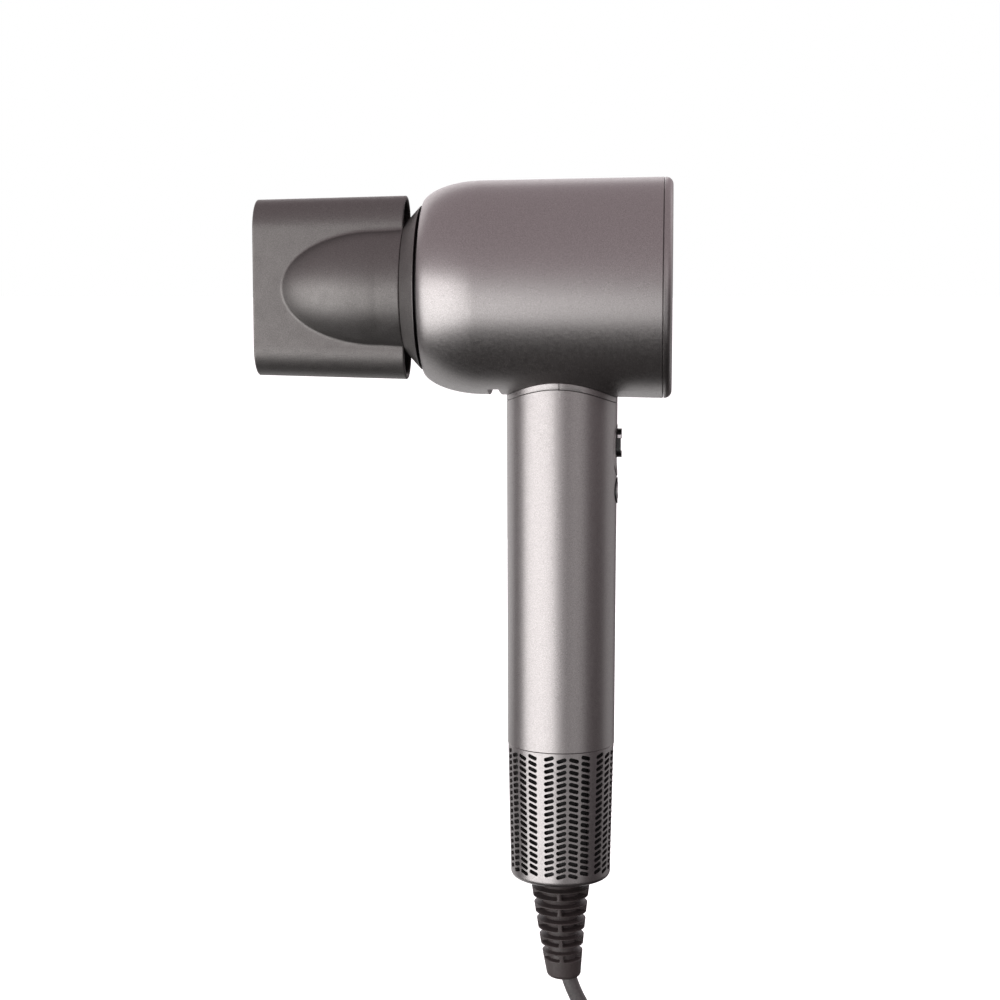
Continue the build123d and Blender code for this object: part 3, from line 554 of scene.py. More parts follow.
def moulded(name, colour, rough=0.5, grain_scale=2600, metallic=0.0, depth=MOULDED_GRAIN):
    """Plain moulded or cast stuff with its own grain."""
    finish, tree, shader = new_finish(name)
    grain = noise(tree, grain_scale, 3.0)
    tree.links.new(
        two_colours(tree, grain, scaled(colour, 0.82), scaled(colour, 1.18)), shader.inputs["Base Color"]
    )
    tree.links.new(spread(tree, grain, rough - 0.05, rough + 0.06), shader.inputs["Roughness"])
    bumps(tree, shader, grain, depth, 0.5)
    shader.inputs["Metallic"].default_value = metallic
    return finish


finishes = {}


def finish_of(name):
    return finishes[name]


class DRYER_OT_finishes(bpy.types.Operator):
    """Makes every finish that the pieces use"""

    bl_idname = "dryer.finishes"
    bl_label = "Finishes"

    def execute(self, context):
        paint = context.scene.dryer_paint
        finishes["metallic_paint"] = metallic_paint()
        finishes["satin_plastic"] = satin_plastic()
        finishes["relief_rubber"] = moulded("relief_rubber", tuple(paint.rubber), 0.5, 1500)
        finishes["cord_jacket"] = moulded("cord_jacket", tuple(paint.cord), 0.42, 1200)
        finishes["black_plastic"] = moulded("black_plastic", (0.012, 0.012, 0.012), 0.5)
        finishes["gloss_black"] = moulded(
            "gloss_black", (0.004, 0.004, 0.004), 0.34, 2600, 0, POLISHED_GRAIN
        )
        finishes["bright_silver"] = moulded(
            "bright_silver", (0.86, 0.86, 0.86), 0.3, 3000, 0.25, POLISHED_GRAIN
        )
        finishes["plug_plastic"] = moulded("plug_plastic", scaled(tuple(paint.cord), 0.8), 0.5, 1800)
        finishes["pin_nickel"] = moulded(
            "pin_nickel", (0.72, 0.7, 0.66), 0.2, 2400, 1.0, POLISHED_GRAIN
        )
        finishes["woven_tie"] = moulded("woven_tie", (0.02, 0.02, 0.02), 0.9, 3200, 0, 0.2 * MM)
        finishes["mica_sheet"] = moulded("mica_sheet", (0.62, 0.57, 0.46), 0.55, 400)
        finishes["heater_wire"] = moulded("heater_wire", (0.35, 0.33, 0.31), 0.4, 2400, 1.0)
        finishes["board_green"] = moulded("board_green", (0.02, 0.16, 0.07), 0.35, 1200)
        finishes["turned_steel"] = moulded("turned_steel", (0.5, 0.5, 0.5), 0.3, 2600, 1.0)
        finishes["copper_wire"] = moulded("copper_wire", (0.7, 0.33, 0.16), 0.3, 2600, 1.0)
        finishes["dark_mesh"] = moulded("dark_mesh", (0.006, 0.006, 0.006), 0.7, 6000, 0.0, 0.1 * MM)
        finishes["soft_rubber"] = moulded("soft_rubber", (0.02, 0.02, 0.02), 0.8, 1500)
        return {"FINISHED"}


# ---------------------------------------------------------------- stage
def soft_box(name, bearing, rise, wide, tall, brightness):
    """A soft light round the dryer, its bearing right of the front, rise, width and height in degrees."""
    distance = 1.4
    turn, lift = math.radians(bearing), math.radians(rise)
    heart = Vector((0, 0, axis_z - 0.05))
    away = Vector((math.sin(turn) * math.cos(lift), -math.cos(turn) * math.cos(lift), math.sin(lift)))
    light = bpy.data.lights.new(name, "AREA")
    light.shape = "RECTANGLE"
    light.size = 2 * distance * math.tan(math.radians(wide / 2))
    light.size_y = 2 * distance * math.tan(math.radians(tall / 2))
    light.energy = brightness * math.pi * light.size * light.size_y
    lamp = bpy.data.objects.new(name, light)
    lamp.location = heart + away * distance
    lamp.rotation_euler = (-away).to_track_quat("-Z", "Y").to_euler()
    lamp.visible_camera = False
    bpy.context.scene.collection.objects.link(lamp)


def studio_world():
    """White behind the dryer, and round it a dim room that is darker below."""
    world = bpy.data.worlds.new("studio")
    world.use_nodes = True
    tree = world.node_tree
    link = tree.links.new
    backdrop = tree.nodes["Background"]
    backdrop.inputs["Color"].default_value = (1, 1, 1, 1)
    room = tree.nodes.new("ShaderNodeBackground")
    where = tree.nodes.new("ShaderNodeTexCoord")
    parts = tree.nodes.new("ShaderNodeSeparateXYZ")
    shade = tree.nodes.new("ShaderNodeValToRGB")
    shade.color_ramp.elements[0].position = 0.15
    shade.color_ramp.elements[0].color = (0.02, 0.018, 0.018, 1)
    shade.color_ramp.elements[1].position = 0.47
    shade.color_ramp.elements[1].color = (0.15, 0.13, 0.137, 1)
    upper = shade.color_ramp.elements.new(0.63)
    upper.color = (0.62, 0.53, 0.56, 1)
    rise = tree.nodes.new("ShaderNodeMapRange")
    rise.inputs["From Min"].default_value = -1
    link(where.outputs["Generated"], parts.inputs[0])
    link(parts.outputs["Z"], rise.inputs["Value"])
    link(rise.outputs["Result"], shade.inputs["Fac"])
    link(shade.outputs["Color"], room.inputs["Color"])
    ray = tree.nodes.new("ShaderNodeLightPath")
    mix = tree.nodes.new("ShaderNodeMixShader")
    link(ray.outputs["Is Camera Ray"], mix.inputs["Fac"])
    link(room.outputs[0], mix.inputs[1])
    link(backdrop.outputs[0], mix.inputs[2])
    link(mix.outputs[0], tree.nodes["World Output"].inputs["Surface"])
    return world


class DRYER_OT_camera(bpy.types.Operator):
    """Places the camera"""

    bl_idname = "dryer.camera"
    bl_label = "Camera"

    def execute(self, context):
        camera_data = bpy.data.cameras.new("camera")
        camera_data.sensor_width = 36.0
        camera_data.lens = 72.34
        camera_data.clip_start = 0.01
        camera = bpy.data.objects.new("camera", camera_data)
        camera.location = (0.04017, -0.70643, axis_z + 0.0036)
        yaw, pitch = math.radians(5.026), math.radians(6.317)
        ahead = Vector((-math.sin(yaw) * math.cos(pitch), math.cos(yaw) * math.cos(pitch), -math.sin(pitch)))
        camera.rotation_euler = ahead.to_track_quat("-Z", "Y").to_euler()
        context.scene.collection.objects.link(camera)
        context.scene.camera = camera
        return {"FINISHED"}


class DRYER_OT_stage(bpy.types.Operator):
    """Lays the pale floor and hangs the soft lights"""

    bl_idname = "dryer.stage"
    bl_label = "Stage"

    def execute(self, context):
        scene = context.scene
        scene.view_settings.view_transform = "Standard"
        scene.world = studio_world()
        half = 30.0
        corners = [(x * half, y * half, floor_z) for x, y in ((-1, -1), (1, -1), (1, 1), (-1, 1))]
        floor = new_object("floor", corners, [(0, 1, 2, 3)])
        pale, _, shader = new_finish("pale_floor")
        shader.inputs["Base Color"].default_value = (0.9, 0.9, 0.9, 1)
        shader.inputs["Roughness"].default_value = 0.8
        shader.inputs["Emission Color"].default_value = (1, 1, 1, 1)
        shader.inputs["Emission Strength"].default_value = 0.8
        floor.data.materials.append(pale)
        floor.visible_glossy = False
        floor.visible_diffuse = False
        floor.visible_shadow = False
        soft_box("left_box", -46, -13, 68, 50, 3.1)
        soft_box("front_box", -4, -17, 22, 32, 0.85)
        soft_box("right_box", 36, -8, 34, 60, 0.6)
        soft_box("back_box", -150, 12, 70, 60, 0.9)
        soft_box("right_back_box", 128, 4, 44, 60, 0.45)
        soft_box("low_back_box", -152, -42, 56, 40, 0.8)
        return {"FINISHED"}


# ---------------------------------------------------------------- barrel
def barrel_radius(x):
    """Outer radius of the barrel's straight stretch."""
    barrel = settings("barrel")
    rear_r = (high("barrel_shell").z - low("rear_ring").z) / 2
    share = (x - barrel.shoulder_x) / (seam_x - barrel.shoulder_x)
    return barrel.front_r + share * (rear_r - barrel.front_r)


def shoulder_line(inset, steps):
    """The shoulder's curve from its start to the mouth, drawn in by inset."""
    barrel = settings("barrel")
    reach = barrel.shoulder_x - barrel.nose_x - inset
    rise = barrel.shoulder_drop - inset
    base = barrel.front_r - barrel.shoulder_drop
    last = 180 - math.degrees(math.asin((barrel.mouth_r - base) / rise))
    return ellipse_arc((barrel.shoulder_x, base), reach, rise, 90, last, steps)


class DRYER_OT_barrel(bpy.types.Operator):
    """Makes the barrel's shell and its rear ring"""

    bl_idname = "dryer.barrel"
    bl_label = "Barrel"

    def execute(self, context):
        barrel = context.scene.dryer_barrel
        wall = barrel.wall
        edge = barrel.edge
        rear_r = barrel_radius(seam_x)
        outline = [(seam_x - edge, rear_r), (seam_x, rear_r - edge), (seam_x, rear_r - wall)]
        outline += shoulder_line(wall, 24)
        outline += reversed(shoulder_line(0, 40))
        shell = turned("shell", outline, "barrel", 192)
        half_span = barrel.groove_span / 2
        groove = box_cutter(
            (barrel.groove_front_x, -half_span, axis_z - barrel_radius(0) - 2 * MM),
            (barrel.groove_rear_x, half_span, axis_z - barrel_radius(-23 * MM) + barrel.groove_depth),
            0.6 * MM,
        )
        cut(shell, groove)
        finish_piece(shell, finish_of("metallic_paint"), "body_paint", "dryer", "barrel_shell")
        self.rear_ring(barrel)
        return {"FINISHED"}

    def rear_ring(self, barrel):
        start = seam_x + 0.16 * MM
        rear_r = barrel_radius(seam_x)
        bore = barrel.bore_r
        outer_edge, bore_lip = 2.6 * MM, 2.0 * MM
        spigot_r = rear_r - barrel.wall - 0.1 * MM
        back = low("rear_ring").x
        edge = 0.12 * MM
        spigot_low = spigot_r - 1.5 * MM
        outline = [(start, bore), (start, spigot_low), (back, spigot_low), (back, spigot_r)]
        outline += [(start, spigot_r), (start, rear_r - edge), (start + edge, rear_r)]
        outer_centre = (rear_x - outer_edge, rear_r - outer_edge)
        outline += reversed(ellipse_arc(outer_centre, outer_edge, outer_edge, 0, 90, 10))
        outline += ellipse_arc((rear_x - bore_lip, bore + bore_lip), bore_lip, bore_lip, 0, -90, 10)
        ring = turned("rear_cap", outline, "barrel", 160)
        finish_piece(ring, finish_of("metallic_paint"), "body_paint", "dryer", "rear_ring")


def box_cutter(lowest, highest, lean):
    """A bar across the barrel whose front and rear walls lean together towards its top."""
    x0, y0, z0 = lowest
    x1, y1, z1 = highest
    vertices = [
        (x0, y0, z0), (x1 + lean, y0, z0), (x1 - lean, y0, z1), (x0, y0, z1),
        (x0, y1, z0), (x1 + lean, y1, z0), (x1 - lean, y1, z1), (x0, y1, z1),
    ]
    faces = [(0, 1, 2, 3), (4, 5, 6, 7), (0, 1, 5, 4), (1, 2, 6, 5), (2, 3, 7, 6), (3, 0, 4, 7)]
    return new_object("groove_cutter", vertices, faces)


# ---------------------------------------------------------------- nozzle
def stadium_radius(angle, half_height, half_thick):
    """Distance from the axis to an upright round-ended outline, at an angle from straight up."""
    sine, cosine = abs(math.sin(angle)), abs(math.cos(angle))
    centre = half_height - half_thick
    if sine > 1e-9:
        flat = half_thick / sine
        if flat * cosine <= centre:
            return flat
    return centre * cosine + math.sqrt(half_thick**2 - (centre * sine) ** 2)


def soft_max(first, second, width):
    """The larger of two numbers, rounded off where they meet."""
    share = max(width - abs(first - second), 0.0) / width
    return max(first, second) + share**2 * width / 4


def nozzle_section(x, inset, steps):
    """One section of the nozzle at x: the flat sleeve and its round swelling run together."""
    nozzle = settings("nozzle")
    rear_half = (high("nozzle_body").z - low("nozzle_body").z) / 2
    share = (x - nozzle_front_x) / (nozzle_rear_x - nozzle_front_x)
    half_height = nozzle.front_half + share * (rear_half - nozzle.front_half) - inset
    tip = nozzle_rear_x - nozzle.bulge_straight
    reach = nozzle.bulge_reach - inset
    if x >= tip:
        along = (x - tip) / nozzle.bulge_straight
        bulge = nozzle.bulge_r + along * (nozzle.bulge_rear_r - nozzle.bulge_r) - inset
    elif x > tip - reach:
        bulge = (nozzle.bulge_r - inset) * math.sqrt(1 - ((tip - x) / reach) ** 2)
    else:
        bulge = 0.0
    section = []
    for k in range(steps):
        angle = 2 * math.pi * k / steps
        flat = stadium_radius(angle, half_height, nozzle.half_thick - inset)
        radius = soft_max(flat, bulge, nozzle.blend)
        section.append((x, radius * math.sin(angle), axis_z + radius * math.cos(angle)))
    return section


class DRYER_OT_nozzle(bpy.types.Operator):
    """Makes the nozzle's sleeve with its swelling, and the collar that it turns with"""

    bl_idname = "dryer.nozzle"
    bl_label = "Nozzle"

    def execute(self, context):
        self.sleeve(context.scene.dryer_nozzle)
        self.collar()
        return {"FINISHED"}

    def sleeve(self, nozzle):
        around, along = 288, 160
        edge = 0.3 * MM
        length = nozzle_rear_x - nozzle_front_x
        rings = []
        for k in range(along + 1):
            x = nozzle_front_x + edge + (length - 2 * edge) * k / along
            rings.append(nozzle_section(x, 0, around))
        rings.append(nozzle_section(nozzle_rear_x, edge, around))
        rings.append(nozzle_section(nozzle_rear_x, nozzle.wall - edge, around))
        for k in range(along, -1, -3):
            x = nozzle_front_x + edge + (length - 2 * edge) * k / along
            rings.append(nozzle_section(x, nozzle.wall, around))
        rings.append(nozzle_section(nozzle_front_x, nozzle.wall - edge, around))
        rings.append(nozzle_section(nozzle_front_x, edge, around))
        vertices = [point for ring in rings for point in ring]
        piece = new_object("nozzle_sleeve", vertices, ring_faces(len(rings), around), 50)
        finish_piece(piece, finish_of("satin_plastic"), "nozzle_plastic", "nozzle", "nozzle_body")

    def collar(self):
        front = low("nozzle_collar").x
        large_r = (high("nozzle_collar").z - low("nozzle_collar").z) / 2
        small_r = 22.96 * MM
        edge_x = front + (large_r - small_r) - 0.5 * MM
        back = edge_x + 0.25 * MM
        tip = high("nozzle_collar").x
        stub, stub_r, bead_r, stub_bore = tip - 0.8 * MM, 24.2 * MM, 24.7 * MM, 23.0 * MM
        outline = [
            (front, 20.1 * MM), (front, small_r), (edge_x, large_r), (back, large_r),
            (back, stub_r), (stub, stub_r), (stub, bead_r),
            (tip, bead_r), (tip, stub_bore), (back, stub_bore),
        ]
        piece = turned("collar_cone", round_corners(outline, 0.25 * MM), "barrel", 160)
        finish_piece(piece, finish_of("satin_plastic"), "nozzle_plastic", "nozzle", "nozzle_collar")


# ---------------------------------------------------------------- handle
def saddle_z(angle, radius, grow):
    """Height of the barrel's underside, let out by grow, over a point of the handle's wall."""
    x, y = radius * math.cos(angle), radius * math.sin(angle)
    reach = barrel_radius(x) + grow
    return axis_z - math.sqrt(reach**2 - y**2)


def handle_radius(z):
    """Outer radius of the handle tube at z."""
    handle = settings("handle")
    grip_low = -14 * MM
    share = max(0.0, (grip_low - z) / (grip_low - tube_low_z))
    return handle.radius + share * (handle.low_radius - handle.radius)


def saddle_tube(name, grow_top, low_line, handle, edge):
    """Upright wall under the barrel, from a saddle-shaped top edge down to low_line(angle, radius)."""
    columns = 192
    rings = []
    for depth, drop in ((0, edge), (edge, 0), (handle.wall - edge, 0), (handle.wall, edge)):
        rings.append([(depth, drop, "top")] * columns)
    for depth, drop in ((handle.wall, edge), (handle.wall - edge, 0), (edge, 0), (0, edge)):
        rings.append([(depth, drop, "low")] * columns)
    vertices = []
    for ring in rings:
        for k, (depth, drop, end) in enumerate(ring):
            angle = 2 * math.pi * k / columns
            if end == "top":
                z = saddle_z(angle, handle.radius - depth, grow_top) - drop
            else:
                z = low_line(angle, handle.radius - depth) + drop
            radius = handle_radius(z) - depth
            vertices.append((radius * math.cos(angle), radius * math.sin(angle), z))
    return new_object(name, vertices, ring_faces(len(rings), columns), 50)


class DRYER_OT_handle(bpy.types.Operator):
    """Makes the handle's tube and the saddle-shaped band over it"""

    bl_idname = "dryer.handle"
    bl_label = "Handle"

    def execute(self, context):
        handle = context.scene.dryer_handle
        band = saddle_tube(
            "saddle_band", 0.03 * MM,
            lambda angle, radius: saddle_z(angle, radius, handle.band), handle, 0.15 * MM,
        )
        slit = box_cutter(
            (-0.12 * MM, -25 * MM, axis_z - 40 * MM), (0.12 * MM, -10 * MM, axis_z - 25 * MM), 0
        )
        cut(band, slit)
        finish_piece(band, finish_of("metallic_paint"), "body_paint", "dryer", "handle_collar")
        tube = saddle_tube(
            "grip_tube", handle.band + handle.seam,
            lambda angle, radius: tube_low_z - 0.22 * MM, handle, 0.1 * MM,
        )
        bezel = middle("switch_bezel")
        size = high("switch_bezel") - low("switch_bezel")
        gap = 0.1 * MM
        wall_x, through = 18 * MM, 12 * MM
        bezel_place = (wall_x, 0, bezel.z)
        cut(tube, stadium_prism("bezel_cutter", bezel_place, size.z / 2 + gap, size.y / 2 + gap, through))
        ring = middle("button_ring")
        ring_r = (high("button_ring").z - low("button_ring").z) / 2 + gap
        cut(tube, stadium_prism("ring_cutter", (wall_x, 0, ring.z), ring_r, ring_r, through))
        finish_piece(tube, finish_of("metallic_paint"), "body_paint", "dryer", "handle_tube")
        return {"FINISHED"}


# ---------------------------------------------------------------- intake sleeve
def math_node(tree, operation, first, second=None):
    """A Math node on one or two sockets or numbers, and gives its result."""
    node = tree.nodes.new("ShaderNodeMath")
    node.operation = operation
    for port, value in zip(node.inputs, (first, second)):
        if value is None:
            continue
        if isinstance(value, (int, float)):
            port.default_value = value
        else:
            tree.links.new(value, port)
    return node.outputs[0]


def perforation_tree(finish):
    """Cuts slanting round-ended slots in groups of columns round the piece that it is given."""
    tree = bpy.data.node_groups.new("perforate", "GeometryNodeTree")
    tree.interface.new_socket("Geometry", in_out="INPUT", socket_type="NodeSocketGeometry")
    tree.interface.new_socket("Geometry", in_out="OUTPUT", socket_type="NodeSocketGeometry")
    for name, kind, value in (
        ("Rows", "NodeSocketInt", 20), ("Columns", "NodeSocketInt", 4), ("Groups", "NodeSocketInt", 6),
        ("Pitch", "NodeSocketFloat", 0.0), ("Column pitch", "NodeSocketFloat", 0.0),
        ("Turn", "NodeSocketFloat", 0.0), ("Stagger", "NodeSocketFloat", 0.0),
        ("First", "NodeSocketFloat", 0.0), ("Length", "NodeSocketFloat", 0.0),
        ("Width", "NodeSocketFloat", 0.0), ("Tilt", "NodeSocketFloat", 0.0),
        ("Radius", "NodeSocketFloat", 0.0),
    ):
        tree.interface.new_socket(name, in_out="INPUT", socket_type=kind).default_value = value
    entry = tree.nodes.new("NodeGroupInput")
    leave = tree.nodes.new("NodeGroupOutput")
    given = entry.outputs
    link = tree.links.new

    index = tree.nodes.new("GeometryNodeInputIndex").outputs[0]
    columns_in_all = math_node(tree, "MULTIPLY", given["Columns"], given["Groups"])
    count = math_node(tree, "MULTIPLY", columns_in_all, given["Rows"])
    column = math_node(tree, "MODULO", index, columns_in_all)
    row = math_node(tree, "FLOOR", math_node(tree, "DIVIDE", index, columns_in_all))
    number = math_node(tree, "MODULO", column, given["Columns"])
    of_group = math_node(tree, "FLOOR", math_node(tree, "DIVIDE", column, given["Columns"]))
    half = math_node(tree, "DIVIDE", math_node(tree, "SUBTRACT", given["Columns"], 1), 2)
    offset = math_node(tree, "SUBTRACT", number, half)
    step = math_node(tree, "DIVIDE", 2 * math.pi, given["Groups"])
    angle = math_node(tree, "ADD", given["Turn"], math_node(tree, "MULTIPLY", of_group, step))
    angle = math_node(tree, "ADD", angle, math_node(tree, "MULTIPLY", offset, given["Column pitch"]))
    inner = math_node(tree, "LESS_THAN", math_node(tree, "ABSOLUTE", offset), 1)
    z = math_node(tree, "SUBTRACT", given["First"], math_node(tree, "MULTIPLY", row, given["Pitch"]))
    z = math_node(tree, "SUBTRACT", z, math_node(tree, "MULTIPLY", inner, given["Stagger"]))
    x = math_node(tree, "MULTIPLY", math_node(tree, "SINE", angle), given["Radius"])
    y = math_node(tree, "MULTIPLY", math_node(tree, "COSINE", angle), given["Radius"])
    y = math_node(tree, "MULTIPLY", y, -1)
    tilt = math_node(tree, "MULTIPLY", math_node(tree, "SIGN", offset), given["Tilt"])

    place = tree.nodes.new("ShaderNodeCombineXYZ")
    turn = tree.nodes.new("ShaderNodeCombineXYZ")
    for port, value in zip(place.inputs, (x, y, z)):
        link(value, port)
    link(tilt, turn.inputs[1])
    link(angle, turn.inputs[2])
    points = tree.nodes.new("GeometryNodePoints")
    link(count, points.inputs["Count"])
    link(place.outputs[0], points.inputs["Position"])

    outline = tree.nodes.new("GeometryNodeCurvePrimitiveQuadrilateral")
    link(given["Length"], outline.inputs["Width"])
    link(given["Width"], outline.inputs["Height"])
    fillet = tree.nodes.new("GeometryNodeFilletCurve")
    fillet.mode = "POLY"
    fillet.inputs["Count"].default_value = 5
    link(outline.outputs[0], fillet.inputs["Curve"])
    link(math_node(tree, "MULTIPLY", given["Width"], 0.49), fillet.inputs["Radius"])
    fill = tree.nodes.new("GeometryNodeFillCurve")
    fill.mode = "NGONS"
    link(fillet.outputs[0], fill.inputs["Curve"])
    depth = 0.003
    lower = tree.nodes.new("GeometryNodeTransform")
    lower.inputs["Translation"].default_value = (0, 0, -depth)
    flip = tree.nodes.new("GeometryNodeFlipFaces")
    link(fill.outputs[0], lower.inputs["Geometry"])
    link(lower.outputs[0], flip.inputs[0])
    push = tree.nodes.new("GeometryNodeExtrudeMesh")
    push.inputs["Offset Scale"].default_value = 2 * depth
    link(lower.outputs[0], push.inputs["Mesh"])
    closed = tree.nodes.new("GeometryNodeJoinGeometry")
    link(flip.outputs[0], closed.inputs[0])
    link(push.outputs["Mesh"], closed.inputs[0])
    merge = tree.nodes.new("GeometryNodeMergeByDistance")
    merge.inputs["Distance"].default_value = 1e-6
    link(closed.outputs[0], merge.inputs["Geometry"])
    upright = tree.nodes.new("GeometryNodeTransform")
    upright.inputs["Rotation"].default_value = (math.radians(90), 0, 0)
    link(merge.outputs[0], upright.inputs["Geometry"])

    instances = tree.nodes.new("GeometryNodeInstanceOnPoints")
    link(points.outputs[0], instances.inputs["Points"])
    link(upright.outputs[0], instances.inputs["Instance"])
    link(turn.outputs[0], instances.inputs["Rotation"])
    realize = tree.nodes.new("GeometryNodeRealizeInstances")
    link(instances.outputs[0], realize.inputs[0])
    boolean = tree.nodes.new("GeometryNodeMeshBoolean")
    boolean.operation = "DIFFERENCE"
    boolean.solver = "MANIFOLD"
    link(given["Geometry"], boolean.inputs["Mesh 1"])
    link(realize.outputs[0], boolean.inputs["Mesh 2"])
    whole = tree.nodes.new("GeometryNodeRealizeInstances")
    link(boolean.outputs[0], whole.inputs[0])
    coat = tree.nodes.new("GeometryNodeSetMaterial")
    coat.inputs["Material"].default_value = finish
    link(whole.outputs[0], coat.inputs["Geometry"])
    link(coat.outputs[0], leave.inputs[0])
    return tree


def run_tree(piece, tree, values):
    """Puts a node tree on a piece with its inputs, and turns the result into a plain mesh."""
    modifier = piece.modifiers.new(tree.name, "NODES")
    modifier.node_group = tree
    for item in tree.interface.items_tree:
        if item.item_type == "SOCKET" and item.in_out == "INPUT" and item.name in values:
            modifier[item.identifier] = values[item.name]
    settle(piece)


class DRYER_OT_sleeve(bpy.types.Operator):
    """Makes the perforated intake sleeve"""

    bl_idname = "dryer.sleeve"
    bl_label = "Intake sleeve"

    def execute(self, context):
        sleeve = context.scene.dryer_sleeve
        top_r, low_r, hole_r = 18.9 * MM, 17.87 * MM, 11.2 * MM
        corner = 2.0 * MM
        floor_top = sleeve_low_z + 1.2 * MM
        outline = [(sleeve_top_z - 0.2 * MM, top_r)]
        bend = ellipse_arc((low_r - corner, sleeve_low_z + corner), corner, corner, 0, -90, 8)
        outline += [(place, radius) for radius, place in bend]
        outline += [(sleeve_low_z, hole_r + 0.3 * MM), (sleeve_low_z + 0.3 * MM, hole_r)]
        outline += [(floor_top, hole_r), (floor_top, low_r - corner - 0.2 * MM)]
        outline += [(sleeve_low_z + corner + 0.4 * MM, low_r - sleeve.wall)]
        outline += [(sleeve_top_z, top_r - sleeve.wall), (sleeve_top_z, top_r - 0.2 * MM)]
        piece = turned("perforated_sleeve", outline, "handle", 192)
        tree = perforation_tree(finish_of("metallic_paint"))
        run_tree(
            piece,
            tree,
            {
                "Rows": sleeve.rows, "Columns": sleeve.columns, "Groups": sleeve.groups,
                "Pitch": sleeve.pitch, "Column pitch": sleeve.column_pitch, "Turn": sleeve.turn,
                "Stagger": sleeve.stagger, "First": sleeve_top_z - sleeve.first_drop,
                "Length": sleeve.length, "Width": sleeve.width, "Tilt": sleeve.tilt,
                "Radius": (top_r + low_r) / 2 - sleeve.wall / 2,
            },
        )
        finish_piece(piece, None, "body_paint", "sleeve", "intake_sleeve")
        return {"FINISHED"}


# ---------------------------------------------------------------- strain relief
def ramp(value, start, end):
    """Rises smoothly from 0 at start to 1 at end."""
    share = min(1.0, max(0.0, (value - start) / (end - start)))
    return share * share * (3 - 2 * share)


class DRYER_OT_relief(bpy.types.Operator):
    """Makes the ribbed strain relief: full grooves, and windows between them that webs cross"""

    bl_idname = "dryer.relief"
    bl_label = "Strain relief"

    def execute(self, context):
        relief = context.scene.dryer_relief
        tip_z = relief_tip_z + 0.1 * MM
        top_z = sleeve_low_z + 2.4 * MM
        root_r, tip_r = relief.root_r, relief.tip_r
        bore_r = context.scene.dryer_cord.diameter / 2 + 0.02 * MM
        around, levels = 168, 330
        tip_round = 1.6 * MM
        vertices = []
        rings = []
        for j in range(levels + 1):
            z = top_z + (tip_z - top_z) * j / levels
            share = (top_z - z) / (top_z - tip_z)
            base = root_r + share * (tip_r + 0.3 * MM - root_r)
            near_tip = max(0.0, tip_round - (z - tip_z)) / tip_round
            base -= tip_round * (1 - math.sqrt(max(0.0, 1 - near_tip**2)))
            ring = []
            for k in range(around):
                angle = 2 * math.pi * k / around
                ring.append((z, base - self.cut_depth(relief, z, top_z, angle, base), angle))
            rings.append(ring)
        rings.append([(tip_z, bore_r, a) for _, _, a in rings[-1]])
        rings.append([(top_z, bore_r, a) for _, _, a in rings[0]])
        for ring in rings:
            for z, radius, angle in ring:
                share = (top_z - z) / (top_z - tip_z)
                shift = relief.lean * share**2
                vertices.append((shift + radius * math.cos(angle), radius * math.sin(angle), z))
        piece = new_object("ribbed_relief", vertices, ring_faces(len(rings), around), 60)
        finish_piece(piece, finish_of("relief_rubber"), "relief_rubber", "dryer", "strain_relief")
        return {"FINISHED"}

    def cut_depth(self, relief, z, top_z, angle, base):
        """How deep the relief is cut at this height and angle."""
        soft = 0.28 * MM
        place = (top_z - relief.first_drop - z) / relief.pitch
        nearest = round(place)
        off = abs(place - nearest) * relief.pitch
        depth = 0.0
        if 0 <= nearest < relief.grooves:
            depth = relief.depth * (1 - ramp(off, relief.groove / 2 - soft, relief.groove / 2 + soft))
        nearest = round(place - 0.5)
        off = abs(place - 0.5 - nearest) * relief.pitch
        if 0 <= nearest < relief.grooves:
            level = 1 - ramp(off, relief.groove / 2 - soft, relief.groove / 2 + soft)
            quarter = angle % (math.pi / 2)
            to_web = min(quarter, math.pi / 2 - quarter) * base
            open_share = ramp(to_web, relief.web / 2 - soft, relief.web / 2 + soft)
            depth = max(depth, relief.depth * 1.1 * level * open_share)
        fade = ramp(z, relief_tip_z, relief_tip_z + relief.fade_height)
        return depth * (relief.tip_share + (1 - relief.tip_share) * fade)


# ---------------------------------------------------------------- cord
def drop_route():
    """The cord's fall from inside the relief to the coil, in millimetres from the barrel's axis."""
    points = [
        (0, 0, -196), (0, 0, -226), (1.9, 0, -248), (10.5, 0, -265), (27, 0, -280), (52, 0, -286),
    ]
    return [Vector((x * MM, y * MM, axis_z + z * MM)) for x, y, z in points]


def coil_point(radius, angle, rise):
    """A point of the coil, so far from its middle and so high over the floor."""
    return Vector(
        (
            coil_centre.x + radius * math.cos(angle),
            coil_centre.y + radius * math.sin(angle),
            floor_z + rise,
        )
    )


def coil_turns(cord):
    """Turns beside and on each other, from the top row's middle to the lowest row's outside."""
    rows = [(2, 0.0), (2, 1.0), (1, 1.0), (1, 0.0), (1, -1.0), (0, -1.0), (0, 0.0), (0, 1.0)]
    mean_r = coil_outer_r - 1.5 * cord.diameter
    points = []
    per_turn = 16
    for turn, (row, column) in enumerate(rows):
        after = rows[min(turn + 1, len(rows) - 1)]
        for step in range(per_turn):
            share = ramp(step / per_turn, 0.55, 1.0)
            height = row + (after[0] - row) * share
            across = column + (after[1] - column) * share
            angle = math.pi / 2 - 2 * math.pi * (step + 1) / per_turn
            radius = mean_r + across * cord.diameter
            points.append(coil_point(radius, angle, cord.diameter * (height + 0.5)))
    return points


def lead_route(cord):
    """The cord's end, from the coil to the plug."""
    y = plug_centre.y
    rear = high("plug_body").x
    z = floor_z + cord.diameter / 2
    return [
        Vector((coil_centre.x - 6 * MM, y, z)),
        Vector((coil_centre.x - 22 * MM, y, z + 1 * MM)),
        Vector((rear - 4 * MM, y, plug_centre.z)),
    ]


